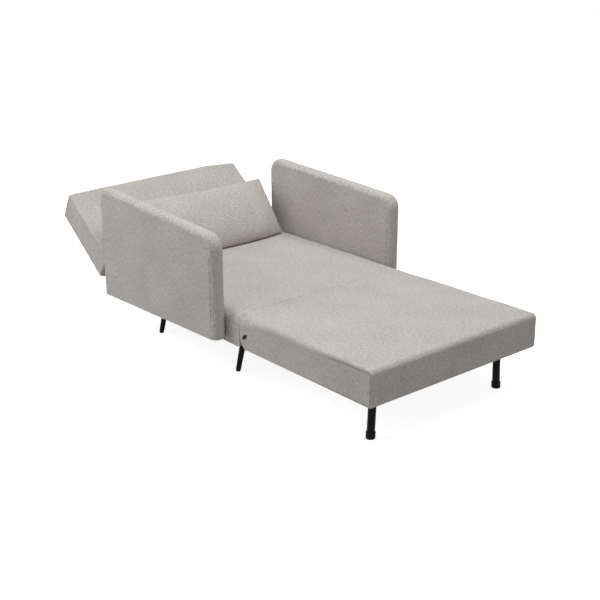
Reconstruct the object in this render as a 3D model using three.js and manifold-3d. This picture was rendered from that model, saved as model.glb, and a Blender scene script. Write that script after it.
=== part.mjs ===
// Convertible chair bed, opened out as a lounger: a seat between two slim padded arms, a front
// section that folds up and over on to the seat, and a back that reclines from upright to flat.
// Units are millimetres, +Z is up, the front of the chair faces -Y and the floor is z = 0.

import * as THREE from "three";
import { mergeVertices } from "three/addons/utils/BufferGeometryUtils.js";
import Module from "manifold-3d";

const wasm = await Module();
wasm.setup();

// Fits and tools
const fit = 0.3; // gap left between two pieces that touch
const overrun = 5; // how far a cutting tool runs past the face it opens
const roundSides = 12; // sides of a small pin, bolt or hole
const tubeSides = 20; // sides of a leg
const plateArcSteps = 5; // steps of the round end of a flat plate

// Seat and front section
const armGap = 764; // clear width between the arms
const sideGap = 4; // between an arm and the side of the seat
const sectionBottom = 151; // underside of the seat above the floor
const sectionThickness = 120;
const seatOverhang = 59; // how far the seat runs out in front of the arms
const seatRearSetback = 13; // rear end of the seat in front of the arms' rear ends
const seatMitre = 44; // how much shorter the underside of the seat is than its top
const foldGap = 12; // between the seat and the front section
const frontLength = 627;
const sectionEdge = 15; // radius of the padded edges
const sectionCrown = 6; // rise of the top in its middle
const sectionDrawIn = 2; // how far the sides pull in between the corners
const endSkin = 18; // foam and cloth over the end of a frame
const sideSkin = 22; // foam and cloth over the side of a frame

// Wooden frames
const railWidth = 25;
const railHeight = 54;
const legBoardWidth = 76; // cross board that carries a pair of legs
const slatThickness = 10;
const slatWidth = 52;
const slatCount = 5;
const slatSeat = 16; // how far a slat lies on the rail
const strapThickness = 2;
const strapWidth = 30;
const strapOffset = 190; // from the middle to each webbing strap
const dustThickness = 1.5;

// Back
const backWidth = 822;
const backLength = 346; // from the hinge line to the top
const backThickness = 115;
const backEdge = 14;
const backCrown = 8;
const backDrawIn = 2;
const backArmGap = 2; // hinge line behind the arms
const backPivotRise = 12; // hinge line above the lying surface
const backMitre = 50; // how far the rear face runs on below the hinge line
const backShoulder = 6; // this run is narrower than the gap between the arms, on each side
const backTopSlant = 18; // how much shorter the rear face is at the top
const backAngle = 36.8; // degrees above level, as photographed
const backFrameInset = 10; // frame from the hinge line
const backTopSkin = 20;
const backSlatStart = 95; // first slat from the hinge line
const backSlatCount = 3;

// Arms
const armThickness = 52;
const armLength = 730;
const armFrontTop = 533;
const armRearTop = 571;
const armFrontBottom = 169.5;
const armRearBottom = 151;
const armEdge = 21; // radius of the padded edges
const armCorner = 52; // corner of the side view
const armBoardThickness = 18;
const armBoardInset = 24; // board from the front, rear and top of its cover
const armBoardRecess = 5; // board above the bottom of its cover

// Arm bolts
const armBoltRadius = 5;
const armBoltHeadRadius = 10;
const armBoltHead = 6;
const armBoltBite = 13; // length held in the arm's board
const armBoltRise = 32; // above the frame's underside
const armBoltFromBoard = 16; // bolts from the cross boards that carry the legs

// Fold links and reclining brackets
const plateThickness = 4;
const headThickness = 2;
const pivotRadius = 5;
const pivotHeadRadius = 9;
const plateEye = 14; // radius of a plate round its pivot
const linkEye = 16; // half the width of a fold link
const linkPivotRise = 53; // front pivot above the section's underside
const linkPivotInset = 20; // front pivot from the section's inner end
const linkDroop = 22; // degrees that the link falls towards the front
const layerGap = 2; // between the crowns when the front section is folded over
const hingePlateLength = 60;
const hingePlateSetback = 12; // plate's foot from its pivot
const hingePlateFoot = 6; // plate above the frame's underside
const hingePlateHeight = 40;
const hingeSlotMargin = 5;
const reclineEye = 12;
const reclinePlateLength = 56;
const reclineArmStart = 6;
const reclineArmLength = 66;
const reclineArmFoot = 20; // plate above the frame's underside
const reclineArmHeight = 30;
const reclineSlotMargin = 4;

// Tapered legs
const legSplay = 14; // degrees outwards
const legFootX = 290;
const legMidY = 69; // behind the arms' front ends
const legRearInset = 167; // in front of the arms' rear ends
const legFootRadius = 9;
const legTopRadius = 12.5;
const legPlateSize = 62;
const legPlateThickness = 2.6;
const glideRadius = 8;
const glideHeight = 3;

// Fold-out legs of the front section
const tubeRadius = 13;
const tubeWall = 1.5;
const foldLegFootX = 294;
const foldLegSetback = 86; // from the front end
const foldLegSplay = 2.6; // degrees outwards
const foldLegPivotRise = 22; // above the section's underside
const foldLegTopReach = 6; // tube above its pivot
const capRadius = 15.5;
const capHeight = 24;
const capFloor = 4;
const legPinRadius = 3;
const legPinHead = 5;
const legPinHeadThickness = 1.5;
const bracketPlate = 2;
const bracketBase = 2.5;
const bracketWidth = 26;
const bracketBelow = 10; // ear below the pivot
const bracketAbove = 14.5; // base above the pivot
const bracketSide = 0.5; // between tube and ear
const stowMargin = 3; // round a folded leg in its slot

// Pillow
const pillowWidth = 706;
const pillowHeight = 252;
const pillowFrontDepth = 62;
const pillowRearDepth = 100;
const pillowEndPinch = 3; // how far the ends pull in between the corners
const pillowLongPinch = 19; // and the long edges
const pillowLean = 16; // degrees steeper than the back
const pillowFootAlong = -101; // lower edge along the back from the hinge line
const pillowFootOff = 68.8; // lower edge off the hinge line, square to the back

// Shape shares
const pillowFullnessShare = 0.62;
const crownPower = 4;
const crownSoftness = 2;
const flatSteps = 5; // mesh steps across a flat face
const thickSteps = 2; // mesh steps through the thickness
const edgeSteps = 2; // mesh steps round half an edge
const pillowStepsAcross = 14;
const pillowStepsUp = 8;

// Places worked out from the sizes above
const rad = THREE.MathUtils.degToRad;
const halfWidth = armGap / 2 - sideGap;
const seatTop = sectionBottom + sectionThickness;
const seatFrontY = -seatOverhang;
const seatRearY = armLength - seatRearSetback;
const legRearY = armLength - legRearInset;
const frontRearY = seatFrontY - foldGap;
const frontEndY = frontRearY - frontLength;
const frameHalf = halfWidth - sideSkin;
const frameBottom = sectionBottom + dustThickness + fit;
const frameTop = frameBottom + railHeight;
const slatBottom = frameTop + fit;
const slatTop = slatBottom + slatThickness;
const pocketTop = slatTop + strapThickness + fit;
const plateInnerX = frameHalf + fit;
const plateOuterX = plateInnerX + plateThickness;
const linkInnerX = plateOuterX + fit;
const linkOuterX = linkInnerX + plateThickness;
const headInnerX = linkOuterX + fit;
const headOuterX = headInnerX + headThickness;
const slotOuterX = headOuterX + fit;
const backPivotY = armLength + backArmGap;
const backPivotZ = seatTop + backPivotRise;

// The link is as long as it takes to lay one section flat on the other
const linkFrontY = frontRearY - linkPivotInset;
const linkFrontZ = sectionBottom + linkPivotRise;
const foldedRise = 2 * (seatTop - linkFrontZ) + 2 * sectionCrown + layerGap;
const linkLength = foldedRise / (1 + Math.sin(rad(linkDroop)));
const linkRearY = linkFrontY + linkLength * Math.cos(rad(linkDroop));
const linkRearZ = linkFrontZ + linkLength * Math.sin(rad(linkDroop));

const foldLegY = frontEndY + foldLegSetback;
const foldLegPivotZ = sectionBottom + foldLegPivotRise;
const foldLegPivotX = foldLegFootX - foldLegPivotZ * Math.tan(rad(foldLegSplay));
const bracketTopZ = foldLegPivotZ + bracketAbove + bracketBase;

// Finishes
const finishes = {
  cloth: { color: 0xbdb9b4, roughness: 0.95, metalness: 0 },
  wood: { color: 0xc9a877, roughness: 0.7, metalness: 0 },
  webbing: { color: 0xd8c9a8, roughness: 0.8, metalness: 0 },
  dustCloth: { color: 0x2b2b2d, roughness: 0.95, metalness: 0 },
  blackMetal: { color: 0x151516, roughness: 0.45, metalness: 0.6 },
  steel: { color: 0x9a9da1, roughness: 0.35, metalness: 0.9 },
  blackPlastic: { color: 0x101011, roughness: 0.6, metalness: 0 },
};

function material(finish) {
  return new THREE.MeshStandardMaterial(finishes[finish]);
}

function named(name, geometry, finish) {
  const mesh = new THREE.Mesh(geometry, material(finish));
  mesh.name = name;
  return mesh;
}

// Left and right as a sitter knows them: the sitter's left hand is on the +X side
function sideName(side) {
  return side > 0 ? "left" : "right";
}

// A closed geometry as a solid that can be cut and joined
function toSolid(geometry) {
  const bare = geometry.clone();
  bare.deleteAttribute("normal");
  bare.deleteAttribute("uv");
  const merged = mergeVertices(bare);
  const vertProperties = new Float32Array(merged.attributes.position.array);
  const triVerts = new Uint32Array(merged.index.array);
  return new wasm.Manifold(new wasm.Mesh({ numProp: 3, vertProperties, triVerts }));
}

function toGeometry(solid) {
  const mesh = solid.getMesh();
  const geometry = new THREE.BufferGeometry();
  geometry.setAttribute("position", new THREE.BufferAttribute(mesh.vertProperties, 3));
  geometry.setIndex(new THREE.BufferAttribute(mesh.triVerts, 1));
  const flat = geometry.toNonIndexed();
  flat.computeVertexNormals();
  return flat;
}

function cut(geometry, tools) {
  return toGeometry(tools.reduce((solid, tool) => solid.subtract(toSolid(tool)), toSolid(geometry)));
}

function join(geometries) {
  return toGeometry(geometries.map(toSolid).reduce((sum, solid) => sum.add(solid)));
}

// A box between two corners, given as ranges along X, Y and Z
function block([x0, x1], [y0, y1], [z0, z1]) {
  const box = new THREE.BoxGeometry(Math.abs(x1 - x0), y1 - y0, z1 - z0);
  return box.translate((x0 + x1) / 2, (y0 + y1) / 2, (z0 + z1) / 2);
}

// A range of X on one side of the chair
function across(side, inner, outer) {
  return side > 0 ? [inner, outer] : [-outer, -inner];
}

// A round bar or hole along X between two distances from the middle, on one side of the chair
function barAlongX(side, inner, outer, radius, y, z) {
  const bar = new THREE.CylinderGeometry(radius, radius, outer - inner, roundSides);
  return bar.rotateZ(Math.PI / 2).translate((side * (inner + outer)) / 2, y, z);
}

// A flat shape drawn in (y, z) and given a thickness along X, with an optional round edge
function slabAcross(shape, side, inner, outer, round = 0) {
  const geometry = new THREE.ExtrudeGeometry(shape, {
    depth: outer - inner - 2 * round,
    curveSegments: plateArcSteps,
    bevelEnabled: round > 0,
    bevelThickness: round,
    bevelSize: round,
    bevelOffset: -round,
    bevelSegments: 2 * edgeSteps,
  });
  geometry.translate(0, 0, round + (side > 0 ? inner : -outer));
  const axes = new THREE.Matrix4().makeBasis(
    new THREE.Vector3(0, 1, 0),
    new THREE.Vector3(0, 0, 1),
    new THREE.Vector3(1, 0, 0),
  );
  return geometry.applyMatrix4(axes);
}

// A closed outline through points [y, z, corner], whose corners are rounded by that length
function roundedOutline(points) {
  const shape = new THREE.Shape();
  const at = (i) => new THREE.Vector2(...points[(i + points.length) % points.length]);
  points.forEach(([y, z, corner], i) => {
    const here = new THREE.Vector2(y, z);
    const back = at(i - 1).sub(here).setLength(corner).add(here);
    const on = at(i + 1).sub(here).setLength(corner).add(here);
    if (i === 0) shape.moveTo(back.x, back.y);
    else shape.lineTo(back.x, back.y);
    if (corner > 0) shape.quadraticCurveTo(here.x, here.y, on.x, on.y);
  });
  shape.closePath();
  return shape;
}

// A plate that runs from a round eye at (y, z) to a rectangular foot
function eyeAndFoot(eye, radius, [footY0, footY1], [footZ0, footZ1]) {
  const points = [];
  for (let i = 0; i < 4 * plateArcSteps; i += 1) {
    const turn = (i / (4 * plateArcSteps)) * 2 * Math.PI;
    points.push([eye[0] + radius * Math.cos(turn), eye[1] + radius * Math.sin(turn)]);
  }
  for (const y of [footY0, footY1]) for (const z of [footZ0, footZ1]) points.push([y, z]);
  return outlineOf(convexHull(points));
}

function outlineOf(points) {
  const shape = new THREE.Shape();
  points.forEach(([y, z], i) => (i === 0 ? shape.moveTo(y, z) : shape.lineTo(y, z)));
  shape.closePath();
  return shape;
}

// The outermost points, anticlockwise, found by walking the sorted points twice
function convexHull(points) {
  const sorted = [...points].sort((a, b) => a[0] - b[0] || a[1] - b[1]);
  const turn = (o, a, b) => (a[0] - o[0]) * (b[1] - o[1]) - (a[1] - o[1]) * (b[0] - o[0]);
  const walk = (list) => {
    const chain = [];
    for (const point of list) {
      while (chain.length > 1 && turn(chain[chain.length - 2], chain[chain.length - 1], point) <= 0) {
        chain.pop();
      }
      chain.push(point);
    }
    return chain.slice(0, -1);
  };
  return [...walk(sorted), ...walk([...sorted].reverse())];
}

// Grid lines along one side of a padded box: close together round the edges, even between them
function gridLines(half, edge, steps) {
  const inner = half - edge;
  const lines = [];
  for (let i = edgeSteps; i > 0; i -= 1) lines.push(-inner - edge * Math.tan((i * Math.PI) / 4 / edgeSteps));
  for (let i = 0; i <= steps; i += 1) lines.push(-inner + (2 * inner * i) / steps);
  for (let i = 1; i <= edgeSteps; i += 1) lines.push(inner + edge * Math.tan((i * Math.PI) / 4 / edgeSteps));
  return lines;
}

// A padded box: round edges, a crowned top and sides that pull in between the corners
function pad(xRange, yRange, zRange, { edge, crown, drawIn }) {
  const ranges = [xRange, yRange, zRange];
  const half = ranges.map(([low, high]) => (high - low) / 2);
  const middle = ranges.map(([low, high]) => (high + low) / 2);
  const lines = [flatSteps, flatSteps, thickSteps].map((steps, k) => gridLines(half[k], edge, steps));
  const box = new THREE.BoxGeometry(1, 1, 1, ...lines.map((list) => list.length - 1));
  const position = box.attributes.position;
  const point = new THREE.Vector3();
  for (let i = 0; i < position.count; i += 1) {
    point.fromBufferAttribute(position, i);
    const onGrid = point.toArray().map((t, k) => lines[k][Math.round((t + 1 / 2) * (lines[k].length - 1))]);
    const inner = onGrid.map((t, k) => THREE.MathUtils.clamp(t, edge - half[k], half[k] - edge));
    const out = new THREE.Vector3(...onGrid).sub(new THREE.Vector3(...inner)).setLength(edge);
    const [x, y, z] = inner.map((t, k) => t + out.getComponent(k));
    const swell = [x / half[0], y / half[1]].map((t) => (1 - Math.abs(t) ** crownPower) ** crownSoftness);
    const waist = 1 - (z / half[2]) ** 2;
    position.setXYZ(
      i,
      middle[0] + x - (x / half[0]) * drawIn * swell[1] * waist,
      middle[1] + y - (y / half[1]) * drawIn * swell[0] * waist,
      middle[2] + z + (z > 0 ? crown * swell[0] * swell[1] : 0),
    );
  }
  return box;
}

// Both faces of the pillow meet in one seam: two bulged grids that share their border
function pillowGeometry() {
  const positions = [];
  const index = [];
  const row = pillowStepsAcross + 1;
  const faceSize = row * (pillowStepsUp + 1);
  for (const depth of [pillowFrontDepth, -pillowRearDepth]) {
    for (let j = 0; j <= pillowStepsUp; j += 1) {
      for (let i = 0; i <= pillowStepsAcross; i += 1) {
        const a = Math.sin(((i / pillowStepsAcross) * 2 - 1) * (Math.PI / 2));
        const b = Math.sin(((j / pillowStepsUp) * 2 - 1) * (Math.PI / 2));
        const x = a * (pillowWidth / 2 - pillowEndPinch * (1 - b * b));
        const y = b * (pillowHeight / 2 - pillowLongPinch * (1 - a * a));
        const bulge = Math.max(0, (1 - a ** crownPower) * (1 - b * b)) ** pillowFullnessShare;
        positions.push(x, y + pillowHeight / 2, depth * bulge);
      }
    }
  }
  for (let j = 0; j < pillowStepsUp; j += 1) {
    for (let i = 0; i < pillowStepsAcross; i += 1) {
      const a = j * row + i;
      const b = a + row;
      index.push(a, a + 1, b + 1, a, b + 1, b);
      index.push(faceSize + a, faceSize + b + 1, faceSize + a + 1, faceSize + a, faceSize + b, faceSize + b + 1);
    }
  }
  const geometry = new THREE.BufferGeometry();
  geometry.setAttribute("position", new THREE.Float32BufferAttribute(positions, 3));
  geometry.setIndex(index);
  return toGeometry(toSolid(geometry));
}

// A rectangular frame of rails with cross boards, lying flat between two heights
function railFrame(half, [y0, y1], boardPlaces, [z0, z1]) {
  const inner = half - railWidth;
  const bay = block([-inner, inner], [y0 + railWidth, y1 - railWidth], [z0 - overrun, z1 + overrun]);
  const rails = cut(block([-half, half], [y0, y1], [z0, z1]), [bay]);
  const boards = boardPlaces.map((y) => {
    return block([-half, half], [y - legBoardWidth / 2, y + legBoardWidth / 2], [z0, z1]);
  });
  return join([rails, ...boards]);
}

// A row of slats joined by two webbing straps that lie on them
function slatSet(half, [y0, y1], z, count) {
  const reach = half - railWidth + slatSeat;
  const pitch = (y1 - y0) / count;
  const top = z + slatThickness;
  const pieces = [];
  for (let i = 0; i < count; i += 1) {
    const middle = y0 + pitch * (i + 1 / 2);
    pieces.push(block([-reach, reach], [middle - slatWidth / 2, middle + slatWidth / 2], [z, top]));
  }
  const ends = [y0 + (pitch - slatWidth) / 2, y1 - (pitch - slatWidth) / 2];
  for (const side of [1, -1]) {
    const strap = across(side, strapOffset - strapWidth / 2, strapOffset + strapWidth / 2);
    pieces.push(block(strap, ends, [top, top + strapThickness]));
  }
  return join(pieces);
}

// The slots in a cushion's sides that the hinge plates lie and swing in
function hingeSlots([y0, y1], outer) {
  const height = [frameBottom, seatTop + sectionCrown + overrun];
  return [1, -1].map((side) => block(across(side, frameHalf, outer), [y0, y1], height));
}

function armBoltPlaces() {
  const z = frameBottom + armBoltRise;
  return [1, -1].flatMap((side) => [
    { side, z, end: "front", y: legMidY + legBoardWidth / 2 + armBoltFromBoard },
    { side, z, end: "rear", y: legRearY - legBoardWidth / 2 - armBoltFromBoard },
  ]);
}

// Seat
const seatFrameY = [seatFrontY + endSkin, seatRearY - seatMitre - endSkin];
const armInnerX = armGap / 2;
const armBoardInnerX = armInnerX + (armThickness - armBoardThickness) / 2;

function armBoltHoles(inner, outer, radius) {
  return armBoltPlaces().map(({ side, y, z }) => barAlongX(side, inner, outer, radius, y, z));
}

// A tool that cuts a section's end along the line between two points of its side view
function mitreTool([faceY, faceZ], [rearY, rearZ], away, half) {
  const slope = (faceY - rearY) / (faceZ - rearZ);
  const [top, bottom] = [faceZ + sectionThickness, rearZ - sectionThickness];
  const topY = faceY + slope * (top - faceZ);
  const bottomY = rearY + slope * (bottom - rearZ);
  const far = away * sectionThickness;
  const corners = [[topY, top], [bottomY, bottom], [bottomY + far, bottom], [topY + far, top]];
  return slabAcross(outlineOf(corners), 1, -half - overrun, half + overrun);
}

function seatCushion() {
  const form = { edge: sectionEdge, crown: sectionCrown, drawIn: sectionDrawIn };
  const body = pad([-halfWidth, halfWidth], [seatFrontY, seatRearY], [sectionBottom, seatTop], form);
  const pocketHalf = frameHalf + fit;
  const pocketY = [seatFrameY[0] - fit, seatFrameY[1] + fit];
  const pocket = block([-pocketHalf, pocketHalf], pocketY, [sectionBottom - overrun, pocketTop]);
  const linkSlots = hingeSlots([seatFrontY - overrun, linkRearY + linkEye + hingeSlotMargin + plateEye], slotOuterX);
  const bracketStart = seatFrameY[1] - reclinePlateLength - hingeSlotMargin;
  const reclineSlots = hingeSlots([bracketStart, seatRearY + overrun], linkInnerX);
  const bolts = armBoltHoles(frameHalf, halfWidth + overrun, armBoltRadius + fit);
  const mitre = mitreTool([seatRearY, seatTop], [seatRearY - seatMitre, sectionBottom], 1, halfWidth);
  return cut(body, [pocket, mitre, ...linkSlots, ...reclineSlots, ...bolts]);
}

function seatFrame() {
  const rails = railFrame(frameHalf, seatFrameY, [legMidY, legRearY], [frameBottom, frameTop]);
  const inner = frameHalf - railWidth - overrun;
  return cut(rails, armBoltHoles(inner, frameHalf + overrun, armBoltRadius + fit));
}

function legPlaces() {
  const topX = legFootX - frameBottom * Math.tan(rad(legSplay));
  return [1, -1].flatMap((side) => [
    { side, end: "mid", x: side * topX, y: legMidY },
    { side, end: "rear", x: side * topX, y: legRearY },
  ]);
}

function seatDustCover() {
  const half = frameHalf - fit;
  const sheet = block([-half, half], [seatFrameY[0] + fit, seatFrameY[1] - fit], [sectionBottom, sectionBottom + dustThickness]);
  const reach = legPlateSize / 2 + fit;
  const height = [sectionBottom - overrun, frameBottom];
  return cut(sheet, legPlaces().map(({ x, y }) => block([x - reach, x + reach], [y - reach, y + reach], height)));
}

function armBolt({ side, y, z }) {
  const headStart = frameHalf - railWidth - fit - armBoltHead;
  const shankEnd = armBoardInnerX + armBoltBite;
  const head = barAlongX(side, headStart, headStart + armBoltHead, armBoltHeadRadius, y, z);
  return join([head, barAlongX(side, headStart, shankEnd, armBoltRadius, y, z)]);
}

// Legs of the seat: the axis leans outwards, the foot is cut level for its glide
function taperedLeg({ side, x, y }) {
  const top = frameBottom - fit - legPlateThickness - fit;
  const lean = rad(legSplay);
  const length = frameBottom / Math.cos(lean);
  const reach = legTopRadius * 2;
  const profile = [
    new THREE.Vector2(0, -length - reach),
    new THREE.Vector2(legFootRadius, -length - reach),
    new THREE.Vector2(legFootRadius, -length),
    new THREE.Vector2(legTopRadius, 0),
    new THREE.Vector2(legTopRadius, reach),
    new THREE.Vector2(0, reach),
  ];
  const leg = new THREE.LatheGeometry(profile, tubeSides).rotateX(Math.PI / 2);
  leg.rotateY(-side * lean).translate(x, y, frameBottom);
  const far = legFootX + legPlateSize;
  const below = block([-far, far], [y - reach, y + reach], [-length, glideHeight + fit]);
  const above = block([-far, far], [y - reach, y + reach], [top, frameBottom + length]);
  return cut(leg, [below, above]);
}

function legPlate({ x, y }) {
  const half = legPlateSize / 2;
  const top = frameBottom - fit;
  return block([x - half, x + half], [y - half, y + half], [top - legPlateThickness, top]);
}

function legGlide({ side, y }) {
  const x = side * (legFootX - glideHeight * Math.tan(rad(legSplay)));
  const disc = new THREE.CylinderGeometry(glideRadius, glideRadius, glideHeight, tubeSides);
  return disc.rotateX(Math.PI / 2).translate(x, y, glideHeight / 2);
}

// Arms: a padded cover over a board that is bolted to the seat's frame
function armLine(y, front, rear) {
  return front + ((rear - front) * y) / armLength;
}

function armOutline(inset, below) {
  const [front, rear] = [inset, armLength - inset];
  const corner = Math.max(armCorner - inset, fit);
  return roundedOutline([
    [front, armLine(front, armFrontBottom, armRearBottom) - below, 0],
    [rear, armLine(rear, armFrontBottom, armRearBottom) - below, 0],
    [rear, armLine(rear, armFrontTop, armRearTop) - inset, corner],
    [front, armLine(front, armFrontTop, armRearTop) - inset, corner],
  ]);
}

function underArm(side, rise) {
  const depth = armThickness;
  const [front, rear] = [-overrun, armLength + overrun];
  const zAt = (y) => armLine(y, armFrontBottom, armRearBottom) + rise;
  const wedge = outlineOf([[front, zAt(front) - depth], [rear, zAt(rear) - depth], [rear, zAt(rear)], [front, zAt(front)]]);
  return slabAcross(wedge, side, armInnerX - overrun, armInnerX + armThickness + overrun);
}

function armCover(side) {
  const outer = slabAcross(armOutline(0, armEdge), side, armInnerX, armInnerX + armThickness, armEdge);
  const boardOuterX = armBoardInnerX + armBoardThickness;
  const pocket = slabAcross(armOutline(armBoardInset - fit, armEdge), side, armBoardInnerX - fit, boardOuterX + fit);
  const holes = armBoltPlaces().filter((bolt) => bolt.side === side);
  const bores = holes.map(({ y, z }) => barAlongX(side, armInnerX - overrun, armBoardInnerX, armBoltRadius + fit, y, z));
  return cut(outer, [underArm(side, 0), pocket, ...bores]);
}

function armBoard(side) {
  const board = slabAcross(armOutline(armBoardInset, 0), side, armBoardInnerX, armBoardInnerX + armBoardThickness);
  const depth = armBoardInnerX + armBoltBite + fit;
  const holes = armBoltPlaces().filter((bolt) => bolt.side === side);
  const bores = holes.map(({ y, z }) => barAlongX(side, armBoardInnerX - overrun, depth, armBoltRadius + fit, y, z));
  return cut(board, [underArm(side, armBoardRecess), ...bores]);
}

// A hinge plate with a riveted stud that a link turns on
function studPlate(side, eye, footY, footZ) {
  const plate = slabAcross(eyeAndFoot(eye, plateEye, footY, footZ), side, plateInnerX, plateOuterX);
  const stud = barAlongX(side, plateInnerX, headOuterX, pivotRadius, ...eye);
  const head = barAlongX(side, headInnerX, headOuterX, pivotHeadRadius, ...eye);
  return join([plate, stud, head]);
}

const plateFootZ = [frameBottom + hingePlateFoot, frameBottom + hingePlateFoot + hingePlateHeight];

function seatLinkPlate(side) {
  const footY = [linkRearY - hingePlateLength / 2, linkRearY + hingePlateLength / 2];
  return studPlate(side, [linkRearY, linkRearZ], footY, plateFootZ);
}

function frontLinkPlate(side) {
  const footEnd = linkFrontY - hingePlateSetback;
  return studPlate(side, [linkFrontY, linkFrontZ], [footEnd - hingePlateLength, footEnd], plateFootZ);
}

function foldLink(side) {
  const eyes = [[linkFrontY, linkFrontZ], [linkRearY, linkRearZ]];
  const rounds = eyes.flatMap(([y, z]) =>
    Array.from({ length: 4 * plateArcSteps }, (_, i) => {
      const turn = (i / (4 * plateArcSteps)) * 2 * Math.PI;
      return [y + linkEye * Math.cos(turn), z + linkEye * Math.sin(turn)];
    }),
  );
  const plate = slabAcross(outlineOf(convexHull(rounds)), side, linkInnerX, linkOuterX);
  const bores = eyes.map(([y, z]) => {
    return barAlongX(side, linkInnerX - overrun, linkOuterX + overrun, pivotRadius + fit, y, z);
  });
  return cut(plate, bores);
}

// Reclining hinge: a bracket on the seat's rail, an arm on the back's rail and a pin through both
function reclineBracket(side) {
  const eye = [backPivotY, backPivotZ];
  const footY = [seatFrameY[1] - reclinePlateLength, seatFrameY[1]];
  const plate = slabAcross(eyeAndFoot(eye, reclineEye, footY, plateFootZ), side, plateInnerX, plateOuterX);
  return cut(plate, [barAlongX(side, plateInnerX - overrun, plateOuterX + overrun, pivotRadius + fit, ...eye)]);
}

function reclinePin(side) {
  const eye = [backPivotY, backPivotZ];
  const shank = barAlongX(side, plateInnerX, headOuterX, pivotRadius, ...eye);
  return join([shank, barAlongX(side, headInnerX, headOuterX, pivotHeadRadius, ...eye)]);
}

// Front section
const frontFrameY = [frontEndY + endSkin, frontRearY - endSkin];

function frontCushion() {
  const form = { edge: sectionEdge, crown: sectionCrown, drawIn: sectionDrawIn };
  const body = pad([-halfWidth, halfWidth], [frontEndY, frontRearY], [sectionBottom, seatTop], form);
  const pocketHalf = frameHalf + fit;
  const pocketY = [frontFrameY[0] - fit, frontFrameY[1] + fit];
  const pocket = block([-pocketHalf, pocketHalf], pocketY, [sectionBottom - overrun, pocketTop]);
  const slotStart = linkFrontY - hingePlateSetback - hingePlateLength - hingeSlotMargin;
  return cut(body, [pocket, ...hingeSlots([slotStart, frontRearY + overrun], slotOuterX)]);
}

function frontFrame() {
  const rails = railFrame(frameHalf, frontFrameY, [], [frameBottom, frameTop]);
  const inner = frameHalf - railWidth;
  const boardY = [foldLegY - legBoardWidth / 2, foldLegY + legBoardWidth / 2];
  const board = block([-inner - overrun, inner + overrun], boardY, [bracketTopZ + fit, frameTop]);
  return join([rails, board]);
}

// The cover under the front section, which is the chair's seat when it is folded over
function frontUnderCover() {
  const half = frameHalf - fit;
  const height = [sectionBottom, sectionBottom + dustThickness];
  const sheet = block([-half, half], [frontFrameY[0] + fit, frontFrameY[1] - fit], height);
  const reachY = capRadius + stowMargin;
  const innerX = foldLegPivotX - foldLegPivotZ - reachY;
  const outerX = foldLegPivotX + reachY + legPinHead;
  const slots = [1, -1].map((side) =>
    block(across(side, innerX, outerX), [foldLegY - reachY, foldLegY + reachY], [-overrun, frameBottom]),
  );
  return cut(sheet, slots);
}

// Fold-out legs: a tube on a pin in a channel bracket, with a moulded foot
function alongY(radius, length, x, y, z) {
  return new THREE.CylinderGeometry(radius, radius, length, roundSides).translate(x, y, z);
}

function legBracket(side) {
  const inner = tubeRadius + bracketSide;
  const outer = inner + bracketPlate;
  const [low, high] = [foldLegPivotZ - bracketBelow, bracketTopZ];
  const channel = outlineOf([
    [foldLegY - outer, low],
    [foldLegY - inner, low],
    [foldLegY - inner, high - bracketBase],
    [foldLegY + inner, high - bracketBase],
    [foldLegY + inner, low],
    [foldLegY + outer, low],
    [foldLegY + outer, high],
    [foldLegY - outer, high],
  ]);
  const body = slabAcross(channel, side, foldLegPivotX - bracketWidth / 2, foldLegPivotX + bracketWidth / 2);
  const bore = alongY(legPinRadius + fit, 2 * (outer + overrun), side * foldLegPivotX, foldLegY, foldLegPivotZ);
  return cut(body, [bore]);
}

function legPin(side) {
  const half = tubeRadius + bracketSide + bracketPlate + fit;
  const x = side * foldLegPivotX;
  const headY = half + legPinHeadThickness / 2;
  return join([
    alongY(legPinRadius, 2 * (half + legPinHeadThickness), x, foldLegY, foldLegPivotZ),
    alongY(legPinHead, legPinHeadThickness, x, foldLegY - headY, foldLegPivotZ),
    alongY(legPinHead, legPinHeadThickness, x, foldLegY + headY, foldLegPivotZ),
  ]);
}

// A lathed piece of the leg, its axis turned outwards about the pin and its foot cut level
function onLegAxis(side, profile) {
  const points = profile.map(([radius, along]) => new THREE.Vector2(radius, along));
  const piece = new THREE.LatheGeometry(points, tubeSides).rotateX(Math.PI / 2);
  return piece.rotateY(-side * rad(foldLegSplay)).translate(side * foldLegPivotX, foldLegY, foldLegPivotZ);
}

const foldLegLength = foldLegPivotZ / Math.cos(rad(foldLegSplay));

function foldLegTube(side) {
  const low = capFloor + fit - foldLegLength;
  const bore = tubeRadius - tubeWall;
  const tube = onLegAxis(side, [
    [bore, low],
    [tubeRadius, low],
    [tubeRadius, foldLegTopReach],
    [bore, foldLegTopReach],
    [bore, low],
  ]);
  return cut(tube, [alongY(legPinRadius + fit, 2 * capRadius, side * foldLegPivotX, foldLegY, foldLegPivotZ)]);
}

function foldLegFoot(side) {
  const foot = -foldLegLength;
  const bore = tubeRadius + fit;
  const cap = onLegAxis(side, [
    [0, foot - overrun],
    [capRadius, foot - overrun],
    [capRadius, foot + capHeight],
    [bore, foot + capHeight],
    [bore, foot + capFloor],
    [0, foot + capFloor],
  ]);
  const reach = foldLegFootX + 2 * capRadius;
  const yRange = [foldLegY - 2 * capRadius, foldLegY + 2 * capRadius];
  return cut(cap, [block([-reach, reach], yRange, [-capHeight, 0])]);
}

// Back: drawn lying along +Y from the hinge line, with its face up, and turned to its angle
const backRear = -backThickness;
const backHalf = backWidth / 2;
const backFrameInnerX = linkOuterX + fit;
const backFrameHalf = backFrameInnerX + railWidth;
const backFrameY = [backFrameInset, backLength - backTopSlant - backTopSkin];
const backFrameZ = [backRear + dustThickness + fit, backRear + dustThickness + fit + railHeight];
const reclineArmY = [reclineArmStart, reclineArmStart + reclineArmLength];
const reclineArmZ = [backFrameZ[0] + reclineArmFoot, backFrameZ[0] + reclineArmFoot + reclineArmHeight];

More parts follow.
